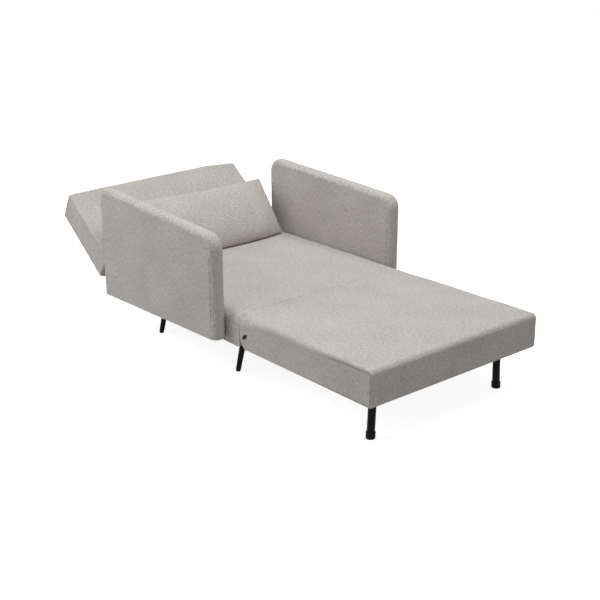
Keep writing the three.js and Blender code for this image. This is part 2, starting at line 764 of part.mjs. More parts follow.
function backCushion() {
  const form = { edge: backEdge, crown: backCrown, drawIn: backDrawIn };
  const body = pad([-backHalf, backHalf], [-backMitre, backLength], [backRear, 0], form);
  const half = backFrameHalf + fit;
  const top = backFrameZ[1] + fit + slatThickness + strapThickness + fit;
  const pocketY = [backFrameY[0] - fit, backFrameY[1] + fit];
  const pocket = block([-half, half], pocketY, [backRear - overrun, top]);
  const lower = mitreTool([0, 0], [-backMitre, backRear], -1, backHalf);
  const upper = mitreTool([backLength, 0], [backLength - backTopSlant, backRear], 1, backHalf);
  const slotY = [-backMitre - overrun, reclineArmY[1] + reclineSlotMargin];
  const slotZ = [reclineArmZ[0] - reclineSlotMargin, backCrown + overrun];
  const slots = [1, -1].map((side) => block(across(side, frameHalf, slotOuterX), slotY, slotZ));
  const shoulderX = armGap / 2 - backShoulder;
  const shoulders = [1, -1].map((side) => {
    return block(across(side, shoulderX, backHalf + overrun), [-backMitre - overrun, 0], [backRear - overrun, overrun]);
  });
  return cut(body, [pocket, lower, upper, ...shoulders, ...slots]);
}

// The lower rail is notched where the reclining arms lie on the inside of the side rails
function backFrame() {
  const rails = railFrame(backFrameHalf, backFrameY, [], backFrameZ);
  const notchY = [backFrameY[0] - overrun, backFrameY[0] + railWidth + overrun];
  const notchZ = [reclineArmZ[0] - fit, backFrameZ[1] + overrun];
  return cut(rails, [1, -1].map((side) => block(across(side, frameHalf, backFrameInnerX), notchY, notchZ)));
}

function reclineArm(side) {
  const outline = eyeAndFoot([0, 0], reclineEye, reclineArmY, reclineArmZ);
  const plate = slabAcross(outline, side, linkInnerX, linkOuterX);
  return cut(plate, [barAlongX(side, linkInnerX - overrun, linkOuterX + overrun, pivotRadius + fit, 0, 0)]);
}

function backPanel() {
  const half = backFrameHalf - fit;
  const height = [backRear, backRear + dustThickness];
  return block([-half, half], [backFrameY[0] + fit, backFrameY[1] - fit], height);
}

function pillowMesh() {
  const pillow = named("pillow", pillowGeometry(), "cloth");
  pillow.position.set(0, pillowFootAlong, pillowFootOff);
  pillow.rotation.x = rad(pillowLean);
  return pillow;
}

function seatGroup() {
  const group = new THREE.Group();
  group.add(named("seat_cushion", seatCushion(), "cloth"));
  group.add(named("seat_frame", seatFrame(), "wood"));
  group.add(named("seat_slats", slatSet(frameHalf, seatFrameY, slatBottom, slatCount), "webbing"));
  group.add(named("seat_dust_cover", seatDustCover(), "dustCloth"));
  for (const bolt of armBoltPlaces()) {
    group.add(named(`arm_bolt_${bolt.end}_${sideName(bolt.side)}`, armBolt(bolt), "steel"));
  }
  for (const leg of legPlaces()) {
    const tail = `${leg.end}_${sideName(leg.side)}`;
    group.add(named(`leg_${tail}`, taperedLeg(leg), "blackMetal"));
    group.add(named(`leg_plate_${tail}`, legPlate(leg), "blackMetal"));
    group.add(named(`leg_glide_${tail}`, legGlide(leg), "blackPlastic"));
  }
  for (const side of [1, -1]) {
    const tail = sideName(side);
    group.add(named(`arm_cover_${tail}`, armCover(side), "cloth"));
    group.add(named(`arm_board_${tail}`, armBoard(side), "wood"));
    group.add(named(`link_plate_seat_${tail}`, seatLinkPlate(side), "steel"));
    group.add(named(`recline_bracket_${tail}`, reclineBracket(side), "steel"));
    group.add(named(`recline_pin_${tail}`, reclinePin(side), "steel"));
  }
  return group;
}

function frontGroup() {
  const group = new THREE.Group();
  group.add(named("front_cushion", frontCushion(), "cloth"));
  group.add(named("front_frame", frontFrame(), "wood"));
  group.add(named("front_slats", slatSet(frameHalf, frontFrameY, slatBottom, slatCount), "webbing"));
  group.add(named("front_under_cover", frontUnderCover(), "cloth"));
  for (const side of [1, -1]) {
    const tail = sideName(side);
    group.add(named(`link_plate_front_${tail}`, frontLinkPlate(side), "steel"));
    group.add(named(`leg_bracket_${tail}`, legBracket(side), "blackMetal"));
    group.add(named(`leg_pin_${tail}`, legPin(side), "steel"));
    group.add(named(`fold_leg_${tail}`, foldLegTube(side), "blackMetal"));
    group.add(named(`fold_foot_${tail}`, foldLegFoot(side), "blackPlastic"));
  }
  return group;
}

function linkGroup() {
  const group = new THREE.Group();
  for (const side of [1, -1]) group.add(named(`fold_link_${sideName(side)}`, foldLink(side), "steel"));
  return group;
}

function backGroup() {
  const group = new THREE.Group();
  const slats = slatSet(backFrameHalf, [backSlatStart, backFrameY[1]], backFrameZ[1] + fit, backSlatCount);
  group.add(named("back_cushion", backCushion(), "cloth"));
  group.add(named("back_frame", backFrame(), "wood"));
  group.add(named("back_slats", slats, "webbing"));
  group.add(named("back_panel", backPanel(), "cloth"));
  for (const side of [1, -1]) group.add(named(`recline_arm_${sideName(side)}`, reclineArm(side), "steel"));
  group.add(pillowMesh());
  group.position.set(0, backPivotY, backPivotZ);
  group.rotation.x = rad(backAngle);
  return group;
}

const chairBed = new THREE.Group();
chairBed.add(seatGroup(), linkGroup(), frontGroup(), backGroup());

// Stand the chair over the origin: the middle of its box comes to x = 0, y = 0
const reach = new THREE.Box3().setFromObject(chairBed, true);
chairBed.position.y = -(reach.min.y + reach.max.y) / 2;

export default chairBed;
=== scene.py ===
"""Looks of a convertible chair bed, opened out as a lounger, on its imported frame.

Every length is in metres. Places along the chair are drawn from the front ends of the arms (y = 0)
and moved into the frame with one shift, because the frame stands over the middle of the whole.
"""
from __future__ import annotations

import logging
import math
from collections.abc import Callable
from dataclasses import dataclass, field
from enum import Enum

import bmesh
import bpy
import numpy as np
from mathutils import Matrix, Vector


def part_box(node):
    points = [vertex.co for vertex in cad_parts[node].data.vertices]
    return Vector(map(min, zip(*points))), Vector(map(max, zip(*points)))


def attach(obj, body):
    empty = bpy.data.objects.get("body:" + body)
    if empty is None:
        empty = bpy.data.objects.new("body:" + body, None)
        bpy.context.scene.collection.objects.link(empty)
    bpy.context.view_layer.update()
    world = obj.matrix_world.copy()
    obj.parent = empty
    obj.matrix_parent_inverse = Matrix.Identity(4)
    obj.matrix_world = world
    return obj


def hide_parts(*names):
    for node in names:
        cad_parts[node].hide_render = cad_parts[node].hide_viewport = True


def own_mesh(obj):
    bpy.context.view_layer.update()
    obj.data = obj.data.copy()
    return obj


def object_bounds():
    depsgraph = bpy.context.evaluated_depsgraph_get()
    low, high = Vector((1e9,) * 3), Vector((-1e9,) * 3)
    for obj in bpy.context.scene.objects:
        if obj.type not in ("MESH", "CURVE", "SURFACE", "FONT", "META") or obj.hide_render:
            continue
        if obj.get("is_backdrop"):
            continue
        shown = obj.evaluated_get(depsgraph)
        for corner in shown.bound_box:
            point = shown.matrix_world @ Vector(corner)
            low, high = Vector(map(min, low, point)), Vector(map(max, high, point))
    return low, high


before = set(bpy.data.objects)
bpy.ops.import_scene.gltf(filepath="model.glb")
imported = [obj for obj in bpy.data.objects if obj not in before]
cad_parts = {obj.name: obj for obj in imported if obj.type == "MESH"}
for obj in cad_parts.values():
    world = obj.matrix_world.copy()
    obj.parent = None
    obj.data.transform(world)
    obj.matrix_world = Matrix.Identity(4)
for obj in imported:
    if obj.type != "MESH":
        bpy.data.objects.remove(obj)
cad_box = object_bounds()
log = logging.getLogger("chair_bed")

FRONT_OF_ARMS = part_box("arm_cover_left")[0].y
CLOTH_SETTLES = 0.0003
SEAM_SINKS = 0.0013
SHEET_THICKNESS = 0.0012
ROLL_LINES = (0.0066, 0.0075, 0.0084, 0.0104, 0.0130, 0.0158, 0.0186, 0.0208, 0.0217, 0.0226) + tuple(
    0.0255 + 0.0036 * k for k in range(7)
)


class Side(Enum):
    """The two sides of the chair, as a sitter knows them."""

    LEFT = 1
    RIGHT = -1

    @property
    def tail(self) -> str:
        """The end of the names of pieces on this side."""
        return self.name.lower()


class LegRow(Enum):
    """The two rows of tapered legs under the seat."""

    MID = "mid"
    REAR = "rear"


class StreakRun(Enum):
    """Which way the short streaks of the pile run in a panel's own map."""

    ALONG_U = "u"
    ALONG_V = "v"


# Surfaces


@dataclass
class Surface:
    """Points and four-sided faces, with one map place per face corner.

    A face whose last two corners are the same point is a triangle.
    """

    points: np.ndarray
    faces: np.ndarray
    maps: np.ndarray
    # Marks along the seams: they sink the cloth there, and the material paints shade along them.
    seam: np.ndarray | None = None

    def normals(self) -> np.ndarray:
        """Work out a smooth outward direction for each point.

        The cross product of each face's diagonals is added to its four corners, then made unit long.

        Returns:
            One unit vector per point.
        """
        a, b, c, d = (self.points[self.faces[:, k]] for k in range(4))
        across = np.cross(c - a, d - b)
        total = np.zeros_like(self.points)
        for k in range(4):
            np.add.at(total, self.faces[:, k], across)
        return total / np.maximum(np.linalg.norm(total, axis=1, keepdims=True), 1e-12)

    def kept(self, mask: np.ndarray | None = None) -> "Surface":
        """Keep some of the faces and drop the points that no face uses.

        Args:
            mask: One truth value per face, or None to keep every face.

        Returns:
            The smaller surface.
        """
        chosen = slice(None) if mask is None else mask
        faces = self.faces[chosen]
        used, packed = np.unique(faces, return_inverse=True)
        seam = None if self.seam is None else self.seam[used]
        return Surface(self.points[used], packed.reshape(faces.shape), self.maps[chosen], seam)

    def to_object(self, name: str, material: bpy.types.Material, shift: bool = True) -> bpy.types.Object:
        """Make a smooth mesh object that stands at the origin with its place in its mesh.

        Args:
            name: The piece's name.
            material: Its finish.
            shift: Whether the points are drawn from the front ends of the arms.

        Returns:
            The new object.
        """
        points = self.points + np.array([0.0, FRONT_OF_ARMS if shift else 0.0, 0.0])
        three = self.faces[:, 2] == self.faces[:, 3]
        faces = self.faces[~three].tolist() + self.faces[three][:, :3].tolist()
        maps = np.vstack([self.maps[~three].reshape(-1, 2), self.maps[three][:, :3].reshape(-1, 2)])
        mesh = bpy.data.meshes.new(name)
        mesh.from_pydata(points.tolist(), [], faces)
        layer = mesh.uv_layers.new(name="cloth_map")
        layer.data.foreach_set("uv", maps.astype(np.float32).ravel())
        # The seam marks go with the mesh, for the material's painted seam shade.
        if self.seam is not None:
            seam = mesh.attributes.new("seam", "FLOAT", "POINT")
            seam.data.foreach_set("value", self.seam.astype(np.float32))
        mesh.polygons.foreach_set("use_smooth", np.ones(len(mesh.polygons), bool))
        mesh.update()
        mesh.materials.append(material)
        obj = bpy.data.objects.new(name, mesh)
        bpy.context.scene.collection.objects.link(obj)
        return obj


def cells(grid: np.ndarray, flipped: bool = False) -> np.ndarray:
    """Give the four corners of every cell of a grid, in order round the cell.

    Args:
        grid: Point numbers or map places, by row and column.
        flipped: Whether to go round the other way, from the same corner.

    Returns:
        Four corners per cell, by row and column.
    """
    a, b, c, d = grid[:-1, :-1], grid[:-1, 1:], grid[1:, 1:], grid[1:, :-1]
    return np.stack([a, d, c, b] if flipped else [a, b, c, d], axis=2)


def unit(rows: np.ndarray) -> np.ndarray:
    """Make every row one long."""
    return rows / np.linalg.norm(rows, axis=1, keepdims=True)


def distances(line: np.ndarray) -> np.ndarray:
    """Give the length travelled along a line of points at each of them."""
    return np.concatenate([[0], np.cumsum(np.linalg.norm(np.diff(line, axis=0), axis=1))])


def nearest(line: np.ndarray, place: tuple[float, float]) -> int:
    """Give the number of the point of a line that is nearest to a place."""
    return int(np.argmin(np.linalg.norm(line - np.array(place), axis=1)))


def plane_waves(
    points: np.ndarray,
    shortest: float,
    longest: float,
    seed: int,
    stretch: tuple[float, float, float] = (1, 1, 1),
) -> np.ndarray:
    """Add up cosine waves of many directions and lengths, for a soft unevenness.

    Each wave is the cosine of the point's distance along the wave's direction over its length.

    Args:
        points: Where the unevenness is read.
        shortest: The shortest wave length.
        longest: The longest wave length.
        seed: The start of the row of random numbers.
        stretch: How much longer the waves are along each axis.

    Returns:
        One value per point, mostly between -1 and 1.
    """
    rng = np.random.default_rng(seed)
    count = 28
    direction = unit(rng.normal(size=(count, 3)))
    length = np.exp(rng.uniform(math.log(shortest), math.log(longest), count))
    phase = rng.uniform(0, 2 * math.pi, count)
    reach = (points / np.array(stretch)) @ (direction * (2 * math.pi / length)[:, None]).T
    return np.cos(reach + phase).sum(axis=1) / math.sqrt(count)


def stuffing(
    points: np.ndarray, waves: tuple[tuple[float, float, float], ...], seeds: tuple[int, ...]
) -> np.ndarray:
    """Add up soft waves of several scales, for cloth over an uneven filling.

    Args:
        points: Where it is read.
        waves: The height, shortest and longest wave length of each scale.
        seeds: The start of each scale's random numbers.

    Returns:
        One height per point.
    """
    return sum(
        height * plane_waves(points, shortest, longest, seed)
        for (height, shortest, longest), seed in zip(waves, seeds)
    )


def crown_share(share: np.ndarray) -> np.ndarray:
    """Fall from 1 in the middle to 0 at shares of -1 and 1, along (1 - s^4)^2."""
    return (1 - np.clip(share, -1, 1) ** 4) ** 2


def smooth_step(value: np.ndarray, start: float, end: float) -> np.ndarray:
    """Rise from 0 at start to 1 at end along 3t^2 - 2t^3.

    Args:
        value: Where the step is read.
        start: The value that gives 0.
        end: The value that gives 1.

    Returns:
        One share per value.
    """
    t = np.clip((value - start) / (end - start), 0.0, 1.0)
    return t * t * (3 - 2 * t)


def rounded_outline(corners: tuple[tuple[float, float, float], ...], spacing: float = 0.0005) -> np.ndarray:
    """Draw a closed outline whose corners are arcs.

    An arc touches both sides of its corner at radius / tan(half the corner's angle) from it.

    Args:
        corners: Each corner as (along, up, radius).
        spacing: The distance between the points of the result.

    Returns:
        Points all round the outline, evenly spaced.
    """
    data = np.array(corners, float)
    line = []
    for here, before, after in zip(data, np.roll(data, 1, axis=0), np.roll(data, -1, axis=0)):
        to_before = (before[:2] - here[:2]) / np.linalg.norm(before[:2] - here[:2])
        to_after = (after[:2] - here[:2]) / np.linalg.norm(after[:2] - here[:2])
        half = math.acos(float(np.clip(to_before @ to_after, -1, 1))) / 2
        radius = max(here[2], 1e-5)
        middle = (to_before + to_after) / np.linalg.norm(to_before + to_after)
        centre = here[:2] + middle * radius / math.sin(half)
        start = here[:2] + to_before * radius / math.tan(half) - centre
        end = here[:2] + to_after * radius / math.tan(half) - centre
        turn = math.pi - 2 * half
        t = np.linspace(0, 1, 33)[:, None]
        line.append(centre + (start * np.sin((1 - t) * turn) + end * np.sin(t * turn)) / math.sin(turn))
    closed = np.vstack(line + [line[0][:1]])
    travelled = distances(closed)
    count = int(travelled[-1] / spacing)
    at = np.linspace(0, travelled[-1], count, endpoint=False)
    return np.stack([np.interp(at, travelled, closed[:, k]) for k in range(2)], axis=1)


@dataclass(frozen=True)
class SquareEnd:
    """A straight, upright end of a side view, between an upper and a lower corner."""

    first: bool
    upper: tuple[float, float]
    lower: tuple[float, float]
    steps: int = 12


@dataclass
class Outline:
    """A closed side view, cut into an upper and a lower half with equally many points."""

    points: np.ndarray
    normals: np.ndarray
    travelled: np.ndarray

    @classmethod
    def through(
        cls,
        corners: tuple[tuple[float, float, float], ...],
        poles: tuple[tuple[float, float], tuple[float, float]],
        count: int,
        turn_weight: float = 0.03,
        square: "SquareEnd | None" = None,
    ) -> "Outline":
        """Sample a rounded outline, closer together where it turns.

        The step between two samples is equal in travelled length plus turn_weight times the turn.

        Args:
            corners: Corners as (along, up, radius), clockwise from the lower front one.
            poles: Places at the front end and at the rear end where the halves meet.
            count: Steps in each half.
            turn_weight: Metres of travel that one radian of turning counts for.
            square: The straight end, if it has one, which gets steps of its own.

        Returns:
            The sampled outline, which starts at the front pole and runs over the top.
        """
        line = rounded_outline(corners)
        line = np.roll(line, -nearest(line, poles[0]), axis=0)
        second = nearest(line, poles[1])
        closed = np.vstack([line, line[:1]])
        step = np.diff(closed, axis=0)
        angle = np.unwrap(np.arctan2(step[:, 1], step[:, 0]))
        turn = np.abs(np.diff(np.concatenate([angle, [angle[-1]]])))
        weight = np.linalg.norm(step, axis=1) + turn_weight * turn
        clock = np.concatenate([[0], np.cumsum(weight)])
        travelled = distances(closed)
        stops, steps = [0, second, len(closed) - 1], [count, count]
        if square:
            upper, lower = nearest(line, square.upper), nearest(line, square.lower)
            k = square.steps
            stops = [0, upper, second, lower, len(closed) - 1]
            steps = [k, count - k, count - k, k] if square.first else [count - k, k, k, count - k]
        parts = [np.linspace(clock[i], clock[j], n, endpoint=False) for i, j, n in zip(stops, stops[1:], steps)]
        at = np.concatenate(parts + [clock[-1:]])
        points = np.stack([np.interp(at, clock, closed[:, axis]) for axis in range(2)], axis=1)
        if square:
            points[steps[0]] = square.upper
        ahead = unit(np.roll(points[:-1], -1, axis=0) - np.roll(points[:-1], 1, axis=0))
        normals = np.stack([-ahead[:, 1], ahead[:, 0]], axis=1)
        return cls(points[:-1], normals, np.interp(at, clock, travelled))

    def snap(self, places: tuple[tuple[float, float], ...]) -> None:
        """Move the nearest sample on to each of some places, for an opening with a straight edge.

        Args:
            places: Points (along, up) on the outline.
        """
        for place in places:
            self.points[nearest(self.points, place)] = place


@dataclass
class SweptPad:
    """A soft box: a side view carried across the chair, rounded towards its two side panels."""

    outline: Outline
    half_width: float
    side_round: float | np.ndarray
    across_step: float = 0.012
    round_steps: int = 7
    panel_steps: int = 22
    panel_bulge: float = 0.0
    side_lines: tuple[float, ...] = ()
    square: SquareEnd | None = None
    panel_axes: tuple[int, int] = (1, 2)

    def surface(self) -> Surface:
        """Build the wrap and both side panels as one closed surface.

        Wrap: a point of the outline moves inwards along its normal by r(1 - cos a) while it goes
        outwards across the chair by r sin a, with r the side rounding and a from 0 to a right
        angle. Between the roundings the lines lie at a share of the flat half width.

        Returns:
            The closed surface, its map in metres and its seam marks.
        """
        ring = len(self.outline.points)
        radius = np.broadcast_to(np.asarray(self.side_round, float), (ring,))[:, None]
        flat = self.half_width - radius
        angle = np.linspace(0, math.pi / 2, self.round_steps + 1)[1:]
        share = np.linspace(-1, 1, max(2, int(round(2 * float(flat.max()) / self.across_step))) + 1)
        beside = (self.half_width - np.array(self.side_lines)) / float(flat.max())
        beside = beside[beside < 0.999]
        share = np.unique(np.round(np.concatenate([share, beside, -beside]), 6))
        right, middle = flat + radius * np.sin(angle), flat * share
        across = np.concatenate([-right[:, ::-1], middle, right], axis=1)
        inset = radius * (1 - np.cos(angle))
        inset = np.concatenate([inset[:, ::-1], 0 * middle, inset], axis=1)
        yz = self.outline.points[:, None, :] - self.outline.normals[:, None, :] * inset[:, :, None]
        grid = np.concatenate([across[:, :, None], yz], axis=2)
        lines = across.shape[1]
        ids = np.arange(ring * lines).reshape(ring, lines)
        faces = cells(np.vstack([ids, ids[:1]])).reshape(-1, 4)
        u = np.vstack([across, across[:1]])
        v = np.broadcast_to(self.outline.travelled[:, None], (ring + 1, lines))
        maps = cells(np.stack([u, v], axis=-1)).reshape(-1, 4, 2)
        # Seam marks on the lines beside the side panels, along which the material paints shade.
        seam = np.zeros((ring, lines))
        seam[:, [0, -1]], seam[:, [1, -2]] = 1.0, 0.45
        result = Surface(grid.reshape(-1, 3), faces, maps, seam.ravel())
        for column, side in ((0, Side.RIGHT), (lines - 1, Side.LEFT)):
            result = self.with_panel(result, ids[:, column], side)
        return result

    def with_panel(self, base: Surface, border: np.ndarray, side: Side) -> Surface:
        """Close one side with straight lines from the lower to the upper half of its border.

        A line stands out from the side by the bulge times 4f(1 - f) at share f of its length. At
        a square end the border itself is the last line, and elsewhere a pole is.

        Args:
            base: The surface so far.
            border: Point numbers round the side, from the front pole over the top.
            side: Which side of the chair it is.

        Returns:
            The surface with the panel.
        """
        half = len(border) // 2
        upper = border[: half + 1]
        lower = np.concatenate([border[:1], border[::-1][:half]])
        even = np.linspace(0, 1, self.panel_steps + 1)
        share = (0.5 - 0.5 * np.cos(math.pi * even) + even) / 2
        low, high = base.points[lower][1:-1], base.points[upper][1:-1]
        inner = low[:, None, :] + (high - low)[:, None, :] * share[None, 1:-1, None]
        near_end = np.minimum(1, np.arange(1, half) / 8)
        stand = (4 * share * (1 - share))[None, 1:-1] * np.minimum(near_end, near_end[::-1])[:, None]
        inner[:, :, 0] += side.value * self.panel_bulge * stand
        ids = np.empty((half + 1, self.panel_steps + 1), int)
        ids[:, 0], ids[:, -1] = lower, upper
        ids[1:-1, 1:-1] = len(base.points) + np.arange(inner[:, :, 0].size).reshape(inner.shape[:2])
        ids[0, :], ids[-1, :] = border[0], border[half]
        if self.square:
            k = self.square.steps
            if self.square.first:
                ids = ids[k:]
                ids[0] = np.concatenate([lower[k:0:-1], upper[: k + 1]])
            else:
                ids = ids[: half - k + 1]
                ids[-1] = np.concatenate([lower[half - k : half], upper[half - k :][::-1]])
        quads = cells(ids, flipped=True)
        if not (self.square and self.square.first):
            quads[0] = quads[0][:, [1, 2, 3, 0]]
        if not (self.square and not self.square.first):
            quads[-1] = quads[-1][:, [3, 0, 1, 2]]
        faces = quads.reshape(-1, 4)
        if side is Side.RIGHT:
            thin = faces[:, 2] == faces[:, 3]
            faces = np.where(thin[:, None], faces[:, [2, 1, 0, 0]], faces[:, ::-1])
        points = np.vstack([base.points, inner.reshape(-1, 3)])
        seam = np.concatenate([base.seam, np.zeros(inner[:, :, 0].size)])
        maps = points[faces][:, :, list(self.panel_axes)]
        return Surface(points, np.vstack([base.faces, faces]), np.vstack([base.maps, maps]), seam).kept()


def lathe(
    profile: np.ndarray, centre: Callable[[np.ndarray], np.ndarray], sides: int, stretch: float = 1.0
) -> Surface:
    """Turn a profile about an axis that may lean sideways, with level rings.

    A ring at height z has the centre that the axis has there, its radius along the chair, and its
    radius times the stretch across it, which is what a level cut through a leaning round bar gives.

    Args:
        profile: Rows of (radius, height) in order, outside on the left hand of the way.
        centre: Gives the ring centres (x, y) for an array of heights.
        sides: Points in a ring.
        stretch: How much longer a ring is across the chair.

    Returns:
        The closed surface, with its map in metres round and along.
    """
    turn = np.linspace(0, 2 * math.pi, sides + 1)
    radius, height = profile[:, :1], profile[:, 1:]
    middle = centre(profile[:, 1])
    x = middle[:, :1] + radius * stretch * np.cos(turn[:-1])
    y = middle[:, 1:] + radius * np.sin(turn[:-1])
    z = np.broadcast_to(height, x.shape)
    points = np.stack([x, y, z], axis=-1)
    rows = len(profile)
    ids = np.arange(rows * sides).reshape(rows, sides)
    ids[profile[:, 0] < 1e-7] = ids[profile[:, 0] < 1e-7][:, :1]
    ids = np.concatenate([ids, ids[:, :1]], axis=1)
    u = np.broadcast_to(turn[None, :] * float(profile[:, 0].max()), ids.shape)
    v = np.broadcast_to(distances(profile)[:, None], ids.shape)
    faces = cells(ids).reshape(-1, 4)
    maps = cells(np.stack([u, v], axis=-1)).reshape(-1, 4, 2)
    low = faces[:, 0] == faces[:, 1]
    faces[low], maps[low] = faces[low][:, [2, 3, 0, 1]], maps[low][:, [2, 3, 0, 1]]
    return Surface(points.reshape(-1, 3), faces, maps).kept()


def rounded_profile(corners: tuple[tuple[float, float, float], ...], steps: int = 5) -> np.ndarray:
    """Round the corners of an open profile with short curves.

    Each curve is the quadratic one whose middle point is the corner itself.

    Args:
        corners: Rows of (radius from the axis, height, length taken off at the corner).
        steps: Points on each curve.

    Returns:
        Rows of (radius, height).
    """
    data = np.array(corners, float)
    out = [data[:1, :2]]
    for before, here, after in zip(data[:-2], data[1:-1], data[2:]):
        if here[2] <= 0:
            out.append(here[None, :2])
            continue
        start = here[:2] + (before[:2] - here[:2]) / np.linalg.norm(before[:2] - here[:2]) * here[2]
        end = here[:2] + (after[:2] - here[:2]) / np.linalg.norm(after[:2] - here[:2]) * here[2]
        t = np.linspace(0, 1, steps)[:, None]
        out.append((1 - t) ** 2 * start + 2 * t * (1 - t) * here[:2] + t * t * end)
    out.append(data[-1:, :2])
    return np.vstack(out)


# Finishes


class Wiring:
    """A node tree that is filled from top to bottom."""

    def __init__(self, tree: bpy.types.NodeTree) -> None:
        """Keep the tree.

        Args:
            tree: The tree of a material, a world or a group.
        """
        self.tree = tree

    def add(
        self, kind: str, inputs: dict[str | int, object] | None = None, **settings: object
    ) -> bpy.types.Node:
        """Add a node, set what it is and fill its sockets.

        Args:
            kind: The node's type.
            inputs: Values or output sockets by the name or number of the input.
            **settings: Attributes of the node.

        Returns:
            The node.
        """
        node = self.tree.nodes.new(kind)
        for name, value in settings.items():
            setattr(node, name, value)
        self.feed(node, inputs or {})
        return node

    def feed(self, node: bpy.types.Node, inputs: dict[str | int, object]) -> None:
        """Fill a node's sockets.

        Args:
            node: The node.
            inputs: Values or output sockets by the name or number of the input.
        """
        for name, value in inputs.items():
            if isinstance(value, bpy.types.NodeSocket):
                self.tree.links.new(value, node.inputs[name])
            else:
                node.inputs[name].default_value = value

    def math(self, operation: str, *values: object) -> bpy.types.NodeSocket:
        """Add a Math node over values or sockets and give its result."""
        return self.add("ShaderNodeMath", dict(enumerate(values)), operation=operation).outputs[0]

    def weighted(
        self, first: bpy.types.NodeSocket, share: float, second: bpy.types.NodeSocket, other: float
    ) -> bpy.types.NodeSocket:
        """Add two values, each times its own share."""
        return self.math("ADD", self.math("MULTIPLY", first, share), self.math("MULTIPLY", second, other))

    def ramp(
        self, value: bpy.types.NodeSocket, stops: tuple[tuple[float, tuple[float, float, float]], ...]
    ) -> bpy.types.NodeSocket:
        """Colour a value by stops.

        Args:
            value: The socket that is coloured.
            stops: Places and linear colours, in order.

        Returns:
            The colour socket.
        """
        node = self.add("ShaderNodeValToRGB", {"Fac": value})
        while len(node.color_ramp.elements) < len(stops):
            node.color_ramp.elements.new(1.0)
        for element, (place, colour) in zip(node.color_ramp.elements, stops):
            element.position, element.color = place, (*colour, 1)
        return node.outputs["Color"]


def linear(red: int, green: int, blue: int) -> tuple[float, float, float]:
    """Turn a colour as it is seen, from 0 to 255, into the renderer's own scale."""
    seen = np.array([red, green, blue]) / 255
    return tuple(float(c) for c in np.where(seen <= 0.04045, seen / 12.92, ((seen + 0.055) / 1.055) ** 2.4))


def new_group(
    name: str, inputs: dict[str, float | None], outputs: tuple[str, ...]
) -> tuple[Wiring, bpy.types.Node, bpy.types.Node]:
    """Start a shader node group with named sockets.

    Args:
        name: The group's name.
        inputs: Default values by name, or None for a vector.
        outputs: Names of the values that it puts out.

    Returns:
        The wiring inside, the group's input node and its output node.
    """
    group = bpy.data.node_groups.new(name, "ShaderNodeTree")
    for key, value in inputs.items():
        kind = "NodeSocketVector" if value is None else "NodeSocketFloat"
        socket = group.interface.new_socket(key, in_out="INPUT", socket_type=kind)
        if value is not None:
            socket.default_value = value
    for key in outputs:
        group.interface.new_socket(key, in_out="OUTPUT", socket_type="NodeSocketFloat")
    wiring = Wiring(group)
    return wiring, wiring.add("NodeGroupInput"), wiring.add("NodeGroupOutput")


def pile_group() -> bpy.types.NodeTree:
    """Build the group for a brushed, short pile cloth.

    Short streaks are noise read on a map that is divided by their length and width. Two crossed
    sine waves give the yarns, and slow noise the broad tone that a hand leaves in the pile.

    Returns:
        The group, with a tone, a height and a broad tone from 0 to 1.
    """
    w, start, end = new_group(
        "pile_cloth",
        {"Map": None, "Streak U": 0.012, "Streak V": 0.005, "Yarn": 0.0022, "Broad": 0.16},
        ("Tone", "Height", "Brushed"),
    )
    own = start.outputs

    def read(u: object, v: object, detail: float, roughness: float) -> bpy.types.NodeSocket:
        """Read noise on the map divided by two lengths."""
        size = w.add("ShaderNodeCombineXYZ", {"X": u, "Y": v, "Z": 1.0}).outputs[0]
        place = w.add("ShaderNodeVectorMath", {0: own["Map"], 1: size}, operation="DIVIDE").outputs[0]
        noise = {"Vector": place, "Scale": 1.0, "Detail": detail, "Roughness": roughness}
        return w.add("ShaderNodeTexNoise", noise).outputs["Fac"]

    streaks = read(own["Streak U"], own["Streak V"], 3.0, 0.6)
    fine = read(w.math("MULTIPLY", own["Yarn"], 1.6), own["Yarn"], 2.0, 0.5)
    broad = read(own["Broad"], own["Broad"], 2.0, 0.5)
    parts = w.add("ShaderNodeSeparateXYZ", {"Vector": own["Map"]})
    bend = w.math("MULTIPLY", fine, 5.0)
    waves = []
    for axis in ("X", "Y"):
        turns = w.math("DIVIDE", w.math("MULTIPLY", parts.outputs[axis], 2 * math.pi), own["Yarn"])
        waves.append(w.math("SINE", w.math("ADD", turns, bend)))
    yarn = w.math("MULTIPLY_ADD", w.math("MULTIPLY", waves[0], waves[1]), 0.5, 0.5)
    mixed = w.weighted(streaks, 0.62, fine, 0.38)
    w.feed(end, {"Tone": mixed, "Height": w.weighted(mixed, 0.6, yarn, 0.4), "Brushed": broad})
    return w.tree


def speckle_group() -> bpy.types.NodeTree:
    """Build the group for a fine grain, as on powder coat, zinc and moulded plastic.

    Returns:
        The group: fine noise gives the grain, and slow noise the cloudiness.
    """
    sizes = {"Place": None, "Size": 0.0008, "Cloud": 0.05}
    w, start, end = new_group("fine_grain", sizes, ("Grain", "Cloudiness"))
    for key, length in (("Grain", "Size"), ("Cloudiness", "Cloud")):
        scale = w.math("DIVIDE", 1.0, start.outputs[length])
        noise = w.add("ShaderNodeTexNoise", {"Vector": start.outputs["Place"], "Scale": scale, "Detail": 2.0})
        w.feed(end, {key: noise.outputs["Fac"]})
    return w.tree


